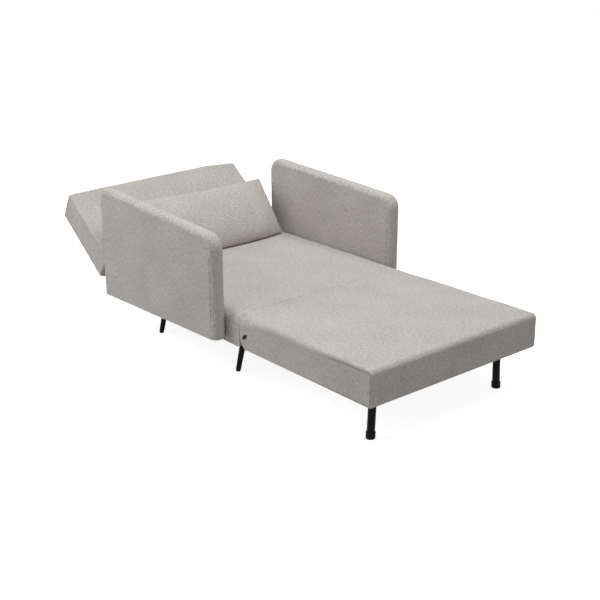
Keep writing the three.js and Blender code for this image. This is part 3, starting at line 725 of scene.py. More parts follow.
def timber_group() -> bpy.types.NodeTree:
    """Build the group for sawn wood, whose grain runs across the chair.

    Noise that is long along the grain bends the rings of a wave, and fine noise gives the pores.

    Returns:
        The group, with the rings and the pores from 0 to 1.
    """
    w, start, end = new_group("sawn_wood", {"Place": None, "Ring": 0.006}, ("Rings", "Pores"))
    stretched = {"Vector": start.outputs["Place"], "Scale": (0.08, 1.0, 1.0)}
    long_way = w.add("ShaderNodeMapping", stretched).outputs[0]
    bend = w.add("ShaderNodeTexNoise", {"Vector": long_way, "Scale": 30.0, "Detail": 2.0}).outputs["Fac"]
    parts = w.add("ShaderNodeSeparateXYZ", {"Vector": long_way})
    way = w.math("ADD", parts.outputs["Y"], w.math("MULTIPLY", bend, 0.03))
    turns = w.math("DIVIDE", w.math("MULTIPLY", way, 2 * math.pi), start.outputs["Ring"])
    rings = w.math("MULTIPLY_ADD", w.math("SINE", turns), 0.5, 0.5)
    pores = w.add("ShaderNodeTexNoise", {"Vector": long_way, "Scale": 900.0, "Detail": 1.0}).outputs["Fac"]
    w.feed(end, {"Rings": rings, "Pores": pores})
    return w.tree


@dataclass
class Groups:
    """The shader groups that more than one finish uses."""

    pile: bpy.types.NodeTree = field(default_factory=pile_group)
    grain: bpy.types.NodeTree = field(default_factory=speckle_group)
    timber: bpy.types.NodeTree = field(default_factory=timber_group)


def blank_material(name: str) -> tuple[bpy.types.Material, Wiring, bpy.types.Node]:
    """Make a material that holds only a Principled shader.

    Args:
        name: The material's name.

    Returns:
        The material, its wiring and the shader.
    """
    material = bpy.data.materials.new(name)
    material.use_nodes = True
    material.node_tree.nodes.clear()
    wiring = Wiring(material.node_tree)
    shader = wiring.add("ShaderNodeBsdfPrincipled")
    wiring.add("ShaderNodeOutputMaterial", {"Surface": shader.outputs[0]})
    return material, wiring, shader


@dataclass(frozen=True)
class Upholstery:
    """Heathered, brushed cloth in a light warm grey."""

    name: str = "upholstery_cloth"
    light: tuple[int, int, int] = (210, 206, 203)
    dark: tuple[int, int, int] = (152, 148, 145)
    streak_length: float = 0.013
    streak_width: float = 0.0048
    yarn: float = 0.0022
    run: StreakRun = StreakRun.ALONG_U
    relief: float = 0.0006
    # How strongly, and towards which grey, the seam marks darken the cloth: painted shade in the sunk seams.
    seam_share: float = 0.8
    painted_seam_shade: tuple[float, float, float] = (0.42, 0.41, 0.40)

    def build(self, groups: Groups) -> bpy.types.Material:
        """Make the material.

        Args:
            groups: The shared shader groups.

        Returns:
            The material, which reads the piece's own map, and its seam marks, along which it paints shade into
            the cloth.
        """
        material, w, shader = blank_material(self.name)
        place = w.add("ShaderNodeUVMap", uv_map="cloth_map").outputs[0]
        lengths = (self.streak_length, self.streak_width)
        lengths = lengths if self.run is StreakRun.ALONG_U else lengths[::-1]
        sizes = {"Map": place, "Streak U": lengths[0], "Streak V": lengths[1], "Yarn": self.yarn}
        pile = w.add("ShaderNodeGroup", sizes, node_tree=groups.pile).outputs
        tone = w.weighted(pile["Tone"], 0.86, pile["Brushed"], 0.14)
        cloth = w.ramp(tone, ((0.33, linear(*self.dark)), (0.67, linear(*self.light))))
        # Painted shade: the seam marks pull the cloth's colour towards a grey, for the shade in the sunk seams.
        seam = w.add("ShaderNodeAttribute", attribute_name="seam", attribute_type="GEOMETRY").outputs["Fac"]
        share = w.math("MULTIPLY", seam, self.seam_share)
        colours = {"Factor": share, 6: cloth, 7: (*self.painted_seam_shade, 1)}
        shade = w.add("ShaderNodeMix", colours, data_type="RGBA", blend_type="MULTIPLY")
        rough = w.math("ADD", w.math("MULTIPLY", pile["Brushed"], 0.12), 0.86)
        bump = w.add("ShaderNodeBump", {"Height": pile["Height"], "Strength": 0.55, "Distance": self.relief})
        w.feed(shader, {"Base Color": shade.outputs[2], "Roughness": rough, "Normal": bump.outputs[0]})
        w.feed(shader, {"Specular IOR Level": 0.2, "Sheen Weight": 0.12, "Sheen Roughness": 0.45})
        return material


@dataclass(frozen=True)
class Grained:
    """A plain finish with a fine grain: coated or plated metal, plastic or felted cloth."""

    name: str
    colour: tuple[int, int, int]
    worn: tuple[int, int, int]
    roughness: float
    metallic: float = 0.0
    grain: float = 0.0008
    relief: float = 0.00008
    spread: float = 0.15
    gloss: float = 0.3

    def build(self, groups: Groups) -> bpy.types.Material:
        """Make the material.

        Args:
            groups: The shared shader groups.

        Returns:
            The material, which reads object coordinates.
        """
        material, w, shader = blank_material(self.name)
        place = w.add("ShaderNodeTexCoord").outputs["Object"]
        grain = w.add("ShaderNodeGroup", {"Place": place, "Size": self.grain}, node_tree=groups.grain).outputs
        mask = w.weighted(grain["Grain"], 0.6, grain["Cloudiness"], 0.4)
        colour = w.ramp(mask, ((0.35, linear(*self.colour)), (0.75, linear(*self.worn))))
        low = self.roughness - self.spread / 2
        rough = w.math("ADD", w.math("MULTIPLY", grain["Cloudiness"], self.spread), low)
        bump = w.add("ShaderNodeBump", {"Height": grain["Grain"], "Strength": 0.4, "Distance": self.relief})
        w.feed(shader, {"Base Color": colour, "Roughness": rough, "Normal": bump.outputs[0]})
        w.feed(shader, {"Metallic": self.metallic, "Specular IOR Level": self.gloss})
        return material


@dataclass(frozen=True)
class Timber:
    """Sawn or peeled wood with rings and pores."""

    name: str
    early: tuple[int, int, int]
    late: tuple[int, int, int]
    ring: float = 0.006
    relief: float = 0.0002

    def build(self, groups: Groups) -> bpy.types.Material:
        """Make the material.

        Args:
            groups: The shared shader groups.

        Returns:
            The material, which reads object coordinates.
        """
        material, w, shader = blank_material(self.name)
        place = w.add("ShaderNodeTexCoord").outputs["Object"]
        wood = w.add("ShaderNodeGroup", {"Place": place, "Ring": self.ring}, node_tree=groups.timber).outputs
        tone = w.weighted(wood["Rings"], 0.6, wood["Pores"], 0.4)
        colour = w.ramp(tone, ((0.2, linear(*self.early)), (0.85, linear(*self.late))))
        rough = w.math("ADD", w.math("MULTIPLY", wood["Pores"], 0.2), 0.5)
        bump = w.add("ShaderNodeBump", {"Height": wood["Pores"], "Strength": 0.3, "Distance": self.relief})
        w.feed(shader, {"Base Color": colour, "Roughness": rough, "Normal": bump.outputs[0]})
        return material


@dataclass
class Finishes:
    """Every material of the chair bed, built once."""

    groups: Groups = field(default_factory=Groups)

    def __post_init__(self) -> None:
        """Build the materials."""
        g = self.groups
        self.cloth = Upholstery().build(g)
        self.arm_cloth = Upholstery("arm_cloth", run=StreakRun.ALONG_V).build(g)
        dust = Grained("felted_dust_cloth", (34, 34, 36), (52, 52, 54), 0.92, grain=0.0014, relief=0.0003)
        coat = Grained("black_powder_coat", (3, 3, 4), (9, 9, 10), 0.46, 0.0, 0.0006, 0.00006, gloss=0.1)
        plastic = Grained("black_moulded_plastic", (4, 4, 5), (10, 10, 11), 0.6, grain=0.0009, gloss=0.14)
        zinc = Grained("zinc_plated_steel", (158, 160, 164), (188, 190, 192), 0.38, 0.9, 0.004, spread=0.2)
        self.dust, self.black, self.plastic, self.steel = (f.build(g) for f in (dust, coat, plastic, zinc))
        self.wood = Timber("pine_rails", (206, 176, 130), (178, 138, 88)).build(g)
        self.slats = Timber("birch_slats", (219, 196, 158), (200, 170, 126), 0.011).build(g)

    def dress_nodes(self) -> None:
        """Give every CAD node that stays in sight the finish of its slot."""
        by_slot = {
            "upholstery": self.cloth,
            "frame_wood": self.wood,
            "slats_webbing": self.slats,
            "dust_cloth": self.dust,
            "black_metal": self.black,
            "steel": self.steel,
            "black_plastic": self.plastic,
        }
        for name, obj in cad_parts.items():
            key = next((word for part, word in NODE_SLOTS if part in name), "upholstery")
            obj.data.materials.clear()
            obj.data.materials.append(by_slot[key])
            log.info("%s: %s", name, key)


NODE_SLOTS = (
    ("_slats", "slats_webbing"),
    ("_frame", "frame_wood"),
    ("arm_board", "frame_wood"),
    ("dust_cover", "dust_cloth"),
    ("arm_bolt", "steel"),
    ("link", "steel"),
    ("recline", "steel"),
    ("leg_pin", "steel"),
    ("leg_glide", "black_plastic"),
    ("fold_foot", "black_plastic"),
    ("leg", "black_metal"),
)


def finish_piece(obj: bpy.types.Object, body: str, nodes: tuple[str, ...]) -> bpy.types.Object:
    """Let a piece ride on a body and stand for CAD nodes.

    Args:
        obj: The piece.
        body: The CAD body that it moves with.
        nodes: The nodes that it stands for.

    Returns:
        The piece.
    """
    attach(obj, body)
    if nodes:
        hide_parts(*nodes)
    log.info("%s: %d faces on %s", obj.name, len(obj.data.polygons), body)
    return obj


def thicken(obj: bpy.types.Object, thickness: float, offset: float) -> None:
    """Give an open surface its thickness.

    Args:
        obj: The surface.
        thickness: How thick it becomes.
        offset: -1 puts the new face behind it, and 1 in front of it.
    """
    wall = obj.modifiers.new("cloth_wall", "SOLIDIFY")
    wall.thickness, wall.offset = thickness, offset


def cloth_wall(obj: bpy.types.Object, thickness: float = 0.0015) -> None:
    """Give an open cover its thickness inwards, with closed rims that don't bend its shading.

    Args:
        obj: The cover.
        thickness: How thick the cloth and its lining are.
    """
    loops, sharp = np.empty(len(obj.data.loops), np.int32), np.empty(len(obj.data.edges), bool)
    obj.data.loops.foreach_get("edge_index", loops)
    rim = np.bincount(loops, minlength=len(sharp)) == 1
    obj.data.edges.foreach_get("use_edge_sharp", sharp)
    obj.data.edges.foreach_set("use_edge_sharp", rim | sharp)
    thicken(obj, thickness, -1.0)


# Sub-assemblies


@dataclass
class Section:
    """What the seat and the front section share: a sewn box of cloth over foam."""

    half_width: float = 0.378
    bottom: float = 0.151
    top: float = 0.271
    crown: float = 0.006
    draw_in: float = 0.002
    junction: float = -0.0651
    dip: float = 0.5
    dip_reach: float = 0.07
    waves: tuple[tuple[float, float, float], ...] = ((0.0006, 0.10, 0.34), (0.00022, 0.028, 0.07))
    sewn_round: float = 0.0052
    fold_round: float = 0.040
    left_share: float = 0.4
    bay_half: float = 0.3563
    wrinkles: tuple[tuple[float, float, float, float, float], ...] = (
        (-0.372, -0.030, -0.262, 0.022, 0.0020),
        (-0.366, -0.062, -0.250, -0.012, 0.0016),
        (-0.330, -0.010, -0.190, 0.040, 0.0010),
        (-0.372, -0.120, -0.300, -0.075, 0.0014),
        (-0.374, -0.150, -0.318, -0.112, 0.0012),
        (0.374, -0.085, 0.300, -0.030, 0.0015),
        (0.372, -0.020, 0.280, 0.030, 0.0012),
    )
    ridge: float = 0.006
    valley: float = 0.007
    valley_beside: float = 0.010
    slot_in: float = 0.3563
    slot_out: float = 0.3705
    slot_from: float = -0.0651
    slot_to: float = 0.0440

    def rolled(self, p: np.ndarray, roll: np.ndarray) -> np.ndarray:
        """Round the upper half of the section off towards its sides.

        At distance t into a roll of radius r the top drops by r - sqrt(r^2 - t^2), and what lies
        between the middle and the top is pressed together in proportion. The left side is
        filled tighter, and rolls less.

        Args:
            p: Points of the section.
            roll: The radius at each point.

        Returns:
            The heights of the points.
        """
        middle = (self.top + self.bottom) / 2
        roll = np.where(p[:, 0] > 0, self.left_share, 1.0) * roll
        t = np.clip(np.abs(p[:, 0]) - (self.half_width - roll), 0, roll)
        drop = roll - np.sqrt(np.maximum(roll * roll - t * t, 0))
        share = np.clip((p[:, 2] - middle) / (self.top - middle), 0, 1)
        return p[:, 2] - drop * share**1.5

    def dressed(
        self,
        raw: Surface,
        low: float,
        high: float,
        seed: int,
        roll: Callable[[np.ndarray], np.ndarray],
        seam_share: Callable[[np.ndarray], np.ndarray],
    ) -> Surface:
        """Crown the top, roll its sides off, sink the seams and mark them for painted shade, and make the cloth
        a little uneven.

        The crown is (1 - s^4)^2 across the chair with s the share of the half width. Along the
        chair it falls only towards the free end, and dips a little where the two sections meet.

        Args:
            raw: The plain swept surface.
            low: The section's front end along the chair.
            high: Its rear end.
            seed: The start of its random numbers.
            roll: Gives the radius of the rolled sides at each point.
            seam_share: Gives how deeply the seam sinks and how much painted shade it gets at each point.

        Returns:
            The finished surface.
        """
        p = raw.points.copy()
        middle, half_height = (self.top + self.bottom) / 2, (self.top - self.bottom) / 2
        side = crown_share(p[:, 0] / self.half_width)
        t = np.clip(2 * (p[:, 1] - low) / (high - low) - 1, -1, 1)
        ends = crown_share(t)
        free = np.where(np.sign(t) == np.sign(self.junction - (low + high) / 2), 1.0, ends)
        along = free * (1 - self.dip * np.exp(-(((p[:, 1] - self.junction) / self.dip_reach) ** 2)))
        upper = smooth_step(p[:, 2], middle, self.top - 0.002)
        p[:, 2] = self.rolled(p, roll(p)) + self.crown * side * along * upper + self.creased(p) * upper
        waist = np.clip(1 - ((p[:, 2] - middle) / half_height) ** 2, 0, 1)
        outer = smooth_step(np.abs(p[:, 0]), 0.3, self.half_width)
        p[:, 0] -= np.sign(p[:, 0]) * self.draw_in * ends * waist * outer
        shaped = Surface(p, raw.faces, raw.maps, raw.seam)
        normals = shaped.normals()
        to_junction = np.abs(p[:, 1] - self.junction)
        # The seam share sinks the cloth along the seams and sets the painted shade there, both fading near the
        # junction.
        share = raw.seam * seam_share(p) * smooth_step(to_junction, 0.004, 0.03)
        still = 1 - smooth_step(to_junction, 0.03, 0.0)
        bottom = smooth_step(p[:, 2], self.bottom + 0.002, self.bottom + 0.02)
        uneven = stuffing(p, self.waves, (seed, seed + 1)) - CLOTH_SETTLES
        shaped.points = p + normals * (uneven * still * bottom - SEAM_SINKS * share)[:, None]
        shaped.seam = share
        return shaped

    def side_rounding(self, outline: Outline, meeting: float) -> np.ndarray:
        """Give the tight sewn rounding towards the side panels at each point of the side view.

        It dies out along the end where the two sections meet.

        Args:
            outline: The side view.
            meeting: Where the other section begins.

        Returns:
            One radius per point.
        """
        to_meeting = np.abs(outline.points[:, 0] - meeting)
        return 0.0001 + (self.sewn_round - 0.0001) * smooth_step(to_meeting, 0.004, 0.05)

    def pad(self, outline: Outline, meeting: float, square: SquareEnd) -> SweptPad:
        """Carry the side view across, with lines close together along the rolled sides.

        Args:
            outline: The side view.
            meeting: Where the other section begins.
            square: The end that faces it.

        Returns:
            The swept pad.
        """
        return SweptPad(
            outline,
            self.half_width,
            self.side_rounding(outline, meeting),
            panel_steps=2 * square.steps,
            square=square,
            panel_axes=(2, 1),
            side_lines=ROLL_LINES,
        )

    def creased(self, p: np.ndarray) -> np.ndarray:
        """Pull faint folds into the top beside the fold, where the cloth is tight over the hinge.

        A fold is its height times exp(-(d / width)^2), with d the distance to its line, less 0.8 of
        the same beside it, so that each ridge has a valley. It fades at both ends of its line.

        Args:
            p: Points of the section.

        Returns:
            How much each point rises.
        """
        rise = np.zeros(len(p))
        for x0, y0, x1, y1, height in self.wrinkles:
            start, end = np.array([x0, y0]), np.array([x1, y1])
            t = np.clip((p[:, :2] - start) @ (end - start) / ((end - start) @ (end - start)), 0, 1)
            off = p[:, :2] - start - t[:, None] * (end - start)
            d = np.linalg.norm(off, axis=1) * np.sign(off[:, 1] + 1e-9)
            fade = height * np.sin(math.pi * np.clip(t, 0.02, 0.98)) ** 0.5
            valley = 0.8 * np.exp(-(((d + self.valley_beside) / self.valley) ** 2))
            rise += fade * (np.exp(-((d / self.ridge) ** 2)) - valley)
        return rise

    def cover_pieces(self, surface: Surface, name: str, body: str, node: str, finishes: "Finishes") -> None:
        """Make the cover, and apart from it the two lips that close the slots of the fold links.

        A lip is the part of the same surface that lies over a slot.

        Args:
            surface: The whole cover, open underneath.
            name: The section's name.
            body: The CAD body that it moves with.
            node: The CAD node that it stands for.
            finishes: The materials.
        """
        middle = surface.points[surface.faces].mean(axis=1)
        across = np.abs(middle[:, 0])
        over = (across > self.slot_in) & (across < self.slot_out) & (middle[:, 2] > self.bottom + 0.02)
        over &= (middle[:, 1] > self.slot_from) & (middle[:, 1] < self.slot_to)
        cover = surface.kept(~over).to_object(f"{name}_upholstery", finishes.cloth)
        self.keep_crisp(cover)
        cloth_wall(cover)
        finish_piece(cover, body, (node,))
        for side in Side:
            strip = surface.kept(over & (middle[:, 0] * side.value > 0))
            lip = strip.to_object(f"{name}_link_lip_{side.tail}", finishes.cloth)
            self.keep_crisp(lip)
            cloth_wall(lip)
            finish_piece(lip, body, ())
            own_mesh(lip)

    def keep_crisp(self, obj: bpy.types.Object) -> None:
        """Keep the shading flat up to the corner where the two sections meet.

        An edge is crisp if its faces stand at over 60 degrees, or if it runs up a side there.

        Args:
            obj: The cover or one of its lips.
        """
        obj.data.set_sharp_from_angle(angle=math.radians(60))
        place = np.empty(len(obj.data.vertices) * 3)
        obj.data.vertices.foreach_get("co", place)
        place = place.reshape(-1, 3)
        count, close = len(obj.data.edges), 0.0005
        ends, sharp = np.empty(count * 2, np.int32), np.empty(count, bool)
        obj.data.edges.foreach_get("vertices", ends)
        obj.data.edges.foreach_get("use_edge_sharp", sharp)
        meets = np.abs(place[:, 1] - FRONT_OF_ARMS - self.junction) < close
        meets &= np.abs(place[:, 0]) > self.half_width - close
        obj.data.edges.foreach_set("use_edge_sharp", sharp | meets[ends.reshape(-1, 2)].all(axis=1))

    def opened(self, surface: Surface, low: float, high: float) -> Surface:
        """Leave the underside open where the dust cover closes it.

        Args:
            surface: The closed surface.
            low: Front end of the opening along the chair.
            high: Its rear end.

        Returns:
            The surface without the faces of the opening.
        """
        middle = surface.points[surface.faces].mean(axis=1)
        inside = (np.abs(middle[:, 0]) < self.bay_half) & (middle[:, 1] > low) & (middle[:, 1] < high)
        return surface.kept(~(inside & (middle[:, 2] < self.bottom + 0.004)))


@dataclass
class Seat(Section):
    """The seat between the arms, which stays put."""

    front: float = -0.06508
    rear: float = 0.717
    mitre: float = 0.044
    frame_front: float = -0.041
    frame_rear: float = 0.655
    side_round: float = 0.024

    def build(self, finishes: Finishes) -> None:
        """Make the seat's upholstery and the dust cloth under it."""
        lower_rear = self.rear - self.mitre
        end = SquareEnd(True, (self.front, self.top), (self.front + 0.0034, self.bottom + 0.0175), 20)
        outline = Outline.through(
            (
                (self.front + 0.004, self.bottom, 0.018),
                (self.front, self.top, 0.0),
                (self.rear, self.top, 0.015),
                (lower_rear, self.bottom, 0.012),
            ),
            ((self.front, 0.218), ((self.rear + lower_rear) / 2, 0.211)),
            160,
            square=end,
        )
        outline.snap(((self.frame_front, self.bottom), (self.frame_rear, self.bottom)))

        def roll(p: np.ndarray) -> np.ndarray:
            """The roll is wide at the fold and narrower between the arms."""
            return self.side_round + (self.fold_round - self.side_round) * smooth_step(p[:, 1], 0.16, -0.03)

        raw = self.pad(outline, self.front, end).surface()
        surface = self.dressed(raw, self.front, self.rear, 11, roll, lambda p: 0.35 + 0 * p[:, 1])
        surface = self.opened(surface, self.frame_front, self.frame_rear)
        self.cover_pieces(surface, "seat", "base", "seat_cushion", finishes)
        self.dust_cloth(finishes)

    def dust_cloth(self, finishes: Finishes) -> None:
        """Make the cloth stapled under the seat, sagging a little, with square holes for the leg plates.

        The sag is the product of two parabolas over the width and the length.

        Args:
            finishes: The materials.
        """
        low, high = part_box("seat_dust_cover")
        y0, y1 = low.y - FRONT_OF_ARMS, high.y - FRONT_OF_ARMS
        plates = [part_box(f"leg_plate_{row.value}_{side.tail}") for row in LegRow for side in Side]
        lines_x = sorted({round(c.x, 5) for box in plates for c in box})
        lines_y = sorted({round(c.y - FRONT_OF_ARMS, 5) for box in plates for c in box})
        margin = 0.0006
        cuts_x, cuts_y = ([v + way * margin for v in lines for way in (-1, 1)] for lines in (lines_x, lines_y))
        xs = np.unique(np.concatenate([np.linspace(low.x, high.x, 61), cuts_x]))
        ys = np.unique(np.concatenate([np.linspace(y0, y1, 61), cuts_y]))
        grid = flat_sheet(xs, ys, low.z)
        middle = grid.points[grid.faces].mean(axis=1)
        hole = np.zeros(len(middle), bool)
        for a, b in plates:
            beside = (middle[:, 0] > a.x - margin) & (middle[:, 0] < b.x + margin)
            beside &= middle[:, 1] > a.y - FRONT_OF_ARMS - margin
            hole |= beside & (middle[:, 1] < b.y - FRONT_OF_ARMS + margin)
        s = 2 * (grid.points[:, 0] - low.x) / (high.x - low.x) - 1
        t = 2 * (grid.points[:, 1] - y0) / (y1 - y0) - 1
        slack = (1 - s * s) * (1 - t * t)
        grid.points[:, 2] -= 0.004 * slack + 0.0005 * np.abs(plane_waves(grid.points, 0.06, 0.2, 31)) * slack
        sheet = grid.kept(~hole).to_object("seat_dust_cloth", finishes.dust)
        thicken(sheet, SHEET_THICKNESS, 1.0)
        finish_piece(sheet, "base", ("seat_dust_cover",))


def flat_sheet(xs: np.ndarray, ys: np.ndarray, z: float) -> Surface:
    """Lay a level grid with its face down.

    Args:
        xs: Its lines across the chair.
        ys: Its lines along the chair.
        z: Its height.

    Returns:
        The sheet, mapped by its own place.
    """
    x, y = np.meshgrid(xs, ys, indexing="ij")
    points = np.stack([x, y, np.full_like(x, z)], axis=-1).reshape(-1, 3)
    ids = np.arange(len(points)).reshape(x.shape)
    faces = cells(ids).reshape(-1, 4)
    return Surface(points, faces, points[faces][:, :, :2], np.zeros(len(points)))


@dataclass
class FrontSection(Section):
    """The section that folds up and over on to the seat."""

    front: float = -0.698
    rear: float = -0.06512
    frame_front: float = -0.680
    frame_rear: float = -0.0895
    flap: float = 0.0235
    slot_from: float = -0.168
    slot_to: float = -0.065
    side_round: float = 0.021
    slot_inner: float = 0.0946
    tube_x: float = 0.2865
    tube_room: float = 0.0165
    slit_half: float = 0.0012
    binding: float = 0.0115

    def build(self, finishes: Finishes) -> None:
        """Make the section's upholstery and the cloth under it."""
        end = SquareEnd(False, (self.rear, self.top), (self.rear, self.bottom + 0.0395), 20)
        outline = Outline.through(
            (
                (self.front, self.bottom, 0.009),
                (self.front, self.top, 0.017),
                (self.rear, self.top, 0.0),
                (self.rear, self.bottom + 0.030, 0.022),
                (self.rear - self.flap, self.bottom, 0.0025),
            ),
            ((self.front, 0.211), (self.rear, 0.230)),
            160,
            square=end,
        )
        outline.snap(((self.frame_front, self.bottom), (self.frame_rear, self.bottom)))

        def roll(p: np.ndarray) -> np.ndarray:
            """The roll narrows from the fold to the sewn free end."""
            first = smooth_step(p[:, 1], self.front + 0.04, self.front + 0.34)
            last = smooth_step(p[:, 1], self.rear - 0.17, self.rear - 0.02)
            return 0.007 + (self.side_round - 0.007) * first + (self.fold_round - self.side_round) * last

        def seam_share(p: np.ndarray) -> np.ndarray:
            """The seam is tight at the free end, with its painted shade strongest there, and sinks into the
            soft roll behind it.
            """
            return 0.2 + 0.8 * smooth_step(p[:, 1], self.front + 0.30, self.front + 0.12)

        surface = self.dressed(
            self.pad(outline, self.rear, end).surface(), self.front, self.rear, 23, roll, seam_share
        )
        surface = self.opened(surface, self.frame_front, self.frame_rear)
        self.cover_pieces(surface, "front", "front_section", "front_cushion", finishes)
        self.under_cover(finishes)

    def under_cover(self, finishes: Finishes) -> None:
        """Make the cloth under the section, with a bound slot that each fold-out leg swings through.

        The binding is a flat band round each slot with a soft step at its outer edge, along which a darker line
        is painted as the shade of the step. Between its edges the cloth sags by (1 - s^4)(1 - t^4) over width
        and length.

        Args:
            finishes: The materials.
        """
        low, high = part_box("front_under_cover")
        y0, y1 = low.y - FRONT_OF_ARMS, high.y - FRONT_OF_ARMS
        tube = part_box("fold_foot_left")
        leg_y = (tube[0].y + tube[1].y) / 2 - FRONT_OF_ARMS
        slit, room = self.slit_half, self.tube_room
        inner, outer = self.slot_inner + 0.006, self.tube_x + room
        cuts_x = np.array([inner, self.tube_x - room, outer])
        cuts_x = np.concatenate([cuts_x, -cuts_x])
        cuts_y = leg_y + np.array([-room, -slit, slit, room])
        near = leg_y + np.linspace(-0.034, 0.034, 35)
        xs = np.unique(np.concatenate([np.linspace(low.x, high.x, 121), cuts_x]))
        ys = np.unique(np.concatenate([np.linspace(y0, y1, 61), near, cuts_y]))
        grid = flat_sheet(xs, ys, low.z)
        middle = grid.points[grid.faces].mean(axis=1)
        ax, dy = np.abs(middle[:, 0]), np.abs(middle[:, 1] - leg_y)
        hole = (ax > inner) & (ax < self.tube_x - room) & (dy < slit)
        hole |= (ax > self.tube_x - room) & (ax < outer) & (dy < room)
        p = grid.points
        px, py = np.abs(p[:, 0]), np.abs(p[:, 1] - leg_y)
        past_end = np.maximum(0, np.maximum(inner - px, px - self.tube_x))
        to_slit = np.hypot(past_end, np.maximum(0, py - slit))
        to_hole = np.hypot(np.maximum(0, np.abs(px - self.tube_x) - room), np.maximum(0, py - room))
        distance = np.minimum(to_slit, to_hole)
        band = smooth_step(distance, self.binding + 0.001, 0.010)
        edge = smooth_step(np.abs(distance - self.binding), 0.0022, 0.0)
        s = 2 * (p[:, 0] - low.x) / (high.x - low.x) - 1
        t = 2 * (p[:, 1] - y0) / (y1 - y0) - 1
        slack = (1 - s**4) * (1 - t**4)
        p[:, 2] -= 0.0012 * band + slack * (0.0022 + 0.0005 * plane_waves(p, 0.05, 0.16, 37)) * (1 - 0.6 * band)
        # Painted shade: a darker line along the binding's step, through the seam marks.
        grid.seam = 0.8 * edge
        sheet = grid.kept(~hole).to_object("front_under_cloth", finishes.cloth)
        thicken(sheet, SHEET_THICKNESS, -1.0)
        finish_piece(sheet, "front_section", ("front_under_cover",))


def tube_along(path: np.ndarray, radius: np.ndarray, sides: int, closed: bool) -> Surface:
    """Carry a circle along a line that lies in an upright plane along the chair.

    The circle stands square to the line: its place at angle a is the line's point plus the
    radius times (cos a across the chair, sin a along the line's own normal).

    Args:
        path: Points (across, along, up).
        radius: One radius per point.
        sides: Points round the circle.
        closed: Whether the line returns to its start.

    Returns:
        The tube, mapped by its travelled length and its girth.
    """
    step = np.roll(path, -1, axis=0) - np.roll(path, 1, axis=0) if closed else np.gradient(path, axis=0)
    out = np.array([1.0, 0.0, 0.0])
    normal = unit(np.cross(unit(step), out))
    angle = np.linspace(0, 2 * math.pi, sides, endpoint=False)
    ring = np.cos(angle)[None, :, None] * out + np.sin(angle)[None, :, None] * normal[:, None, :]
    grid = path[:, None, :] + ring * radius[:, None, None]
    ids = np.arange(len(path) * sides).reshape(-1, sides)
    if closed:
        ids, grid = np.concatenate([ids, ids[:1]]), np.concatenate([grid, grid[:1]])
    else:
        ids[0], ids[-1] = ids[0, 0], ids[-1, 0]
    ids = np.concatenate([ids, ids[:, :1]], axis=1)
    length = distances(grid.mean(axis=1))
    girth = np.linspace(0, 2 * math.pi * float(radius.mean()), sides + 1)
    faces = cells(ids)
    maps = cells(np.stack(np.broadcast_arrays(length[:, None], girth[None, :]), axis=-1))
    if not closed:
        faces[0], maps[0] = faces[0][:, [2, 3, 0, 1]], maps[0][:, [2, 3, 0, 1]]
    points = grid[: len(path)].reshape(-1, 3)
    return Surface(points, faces.reshape(-1, 4), maps.reshape(-1, 4, 2), np.zeros(len(points))).kept()


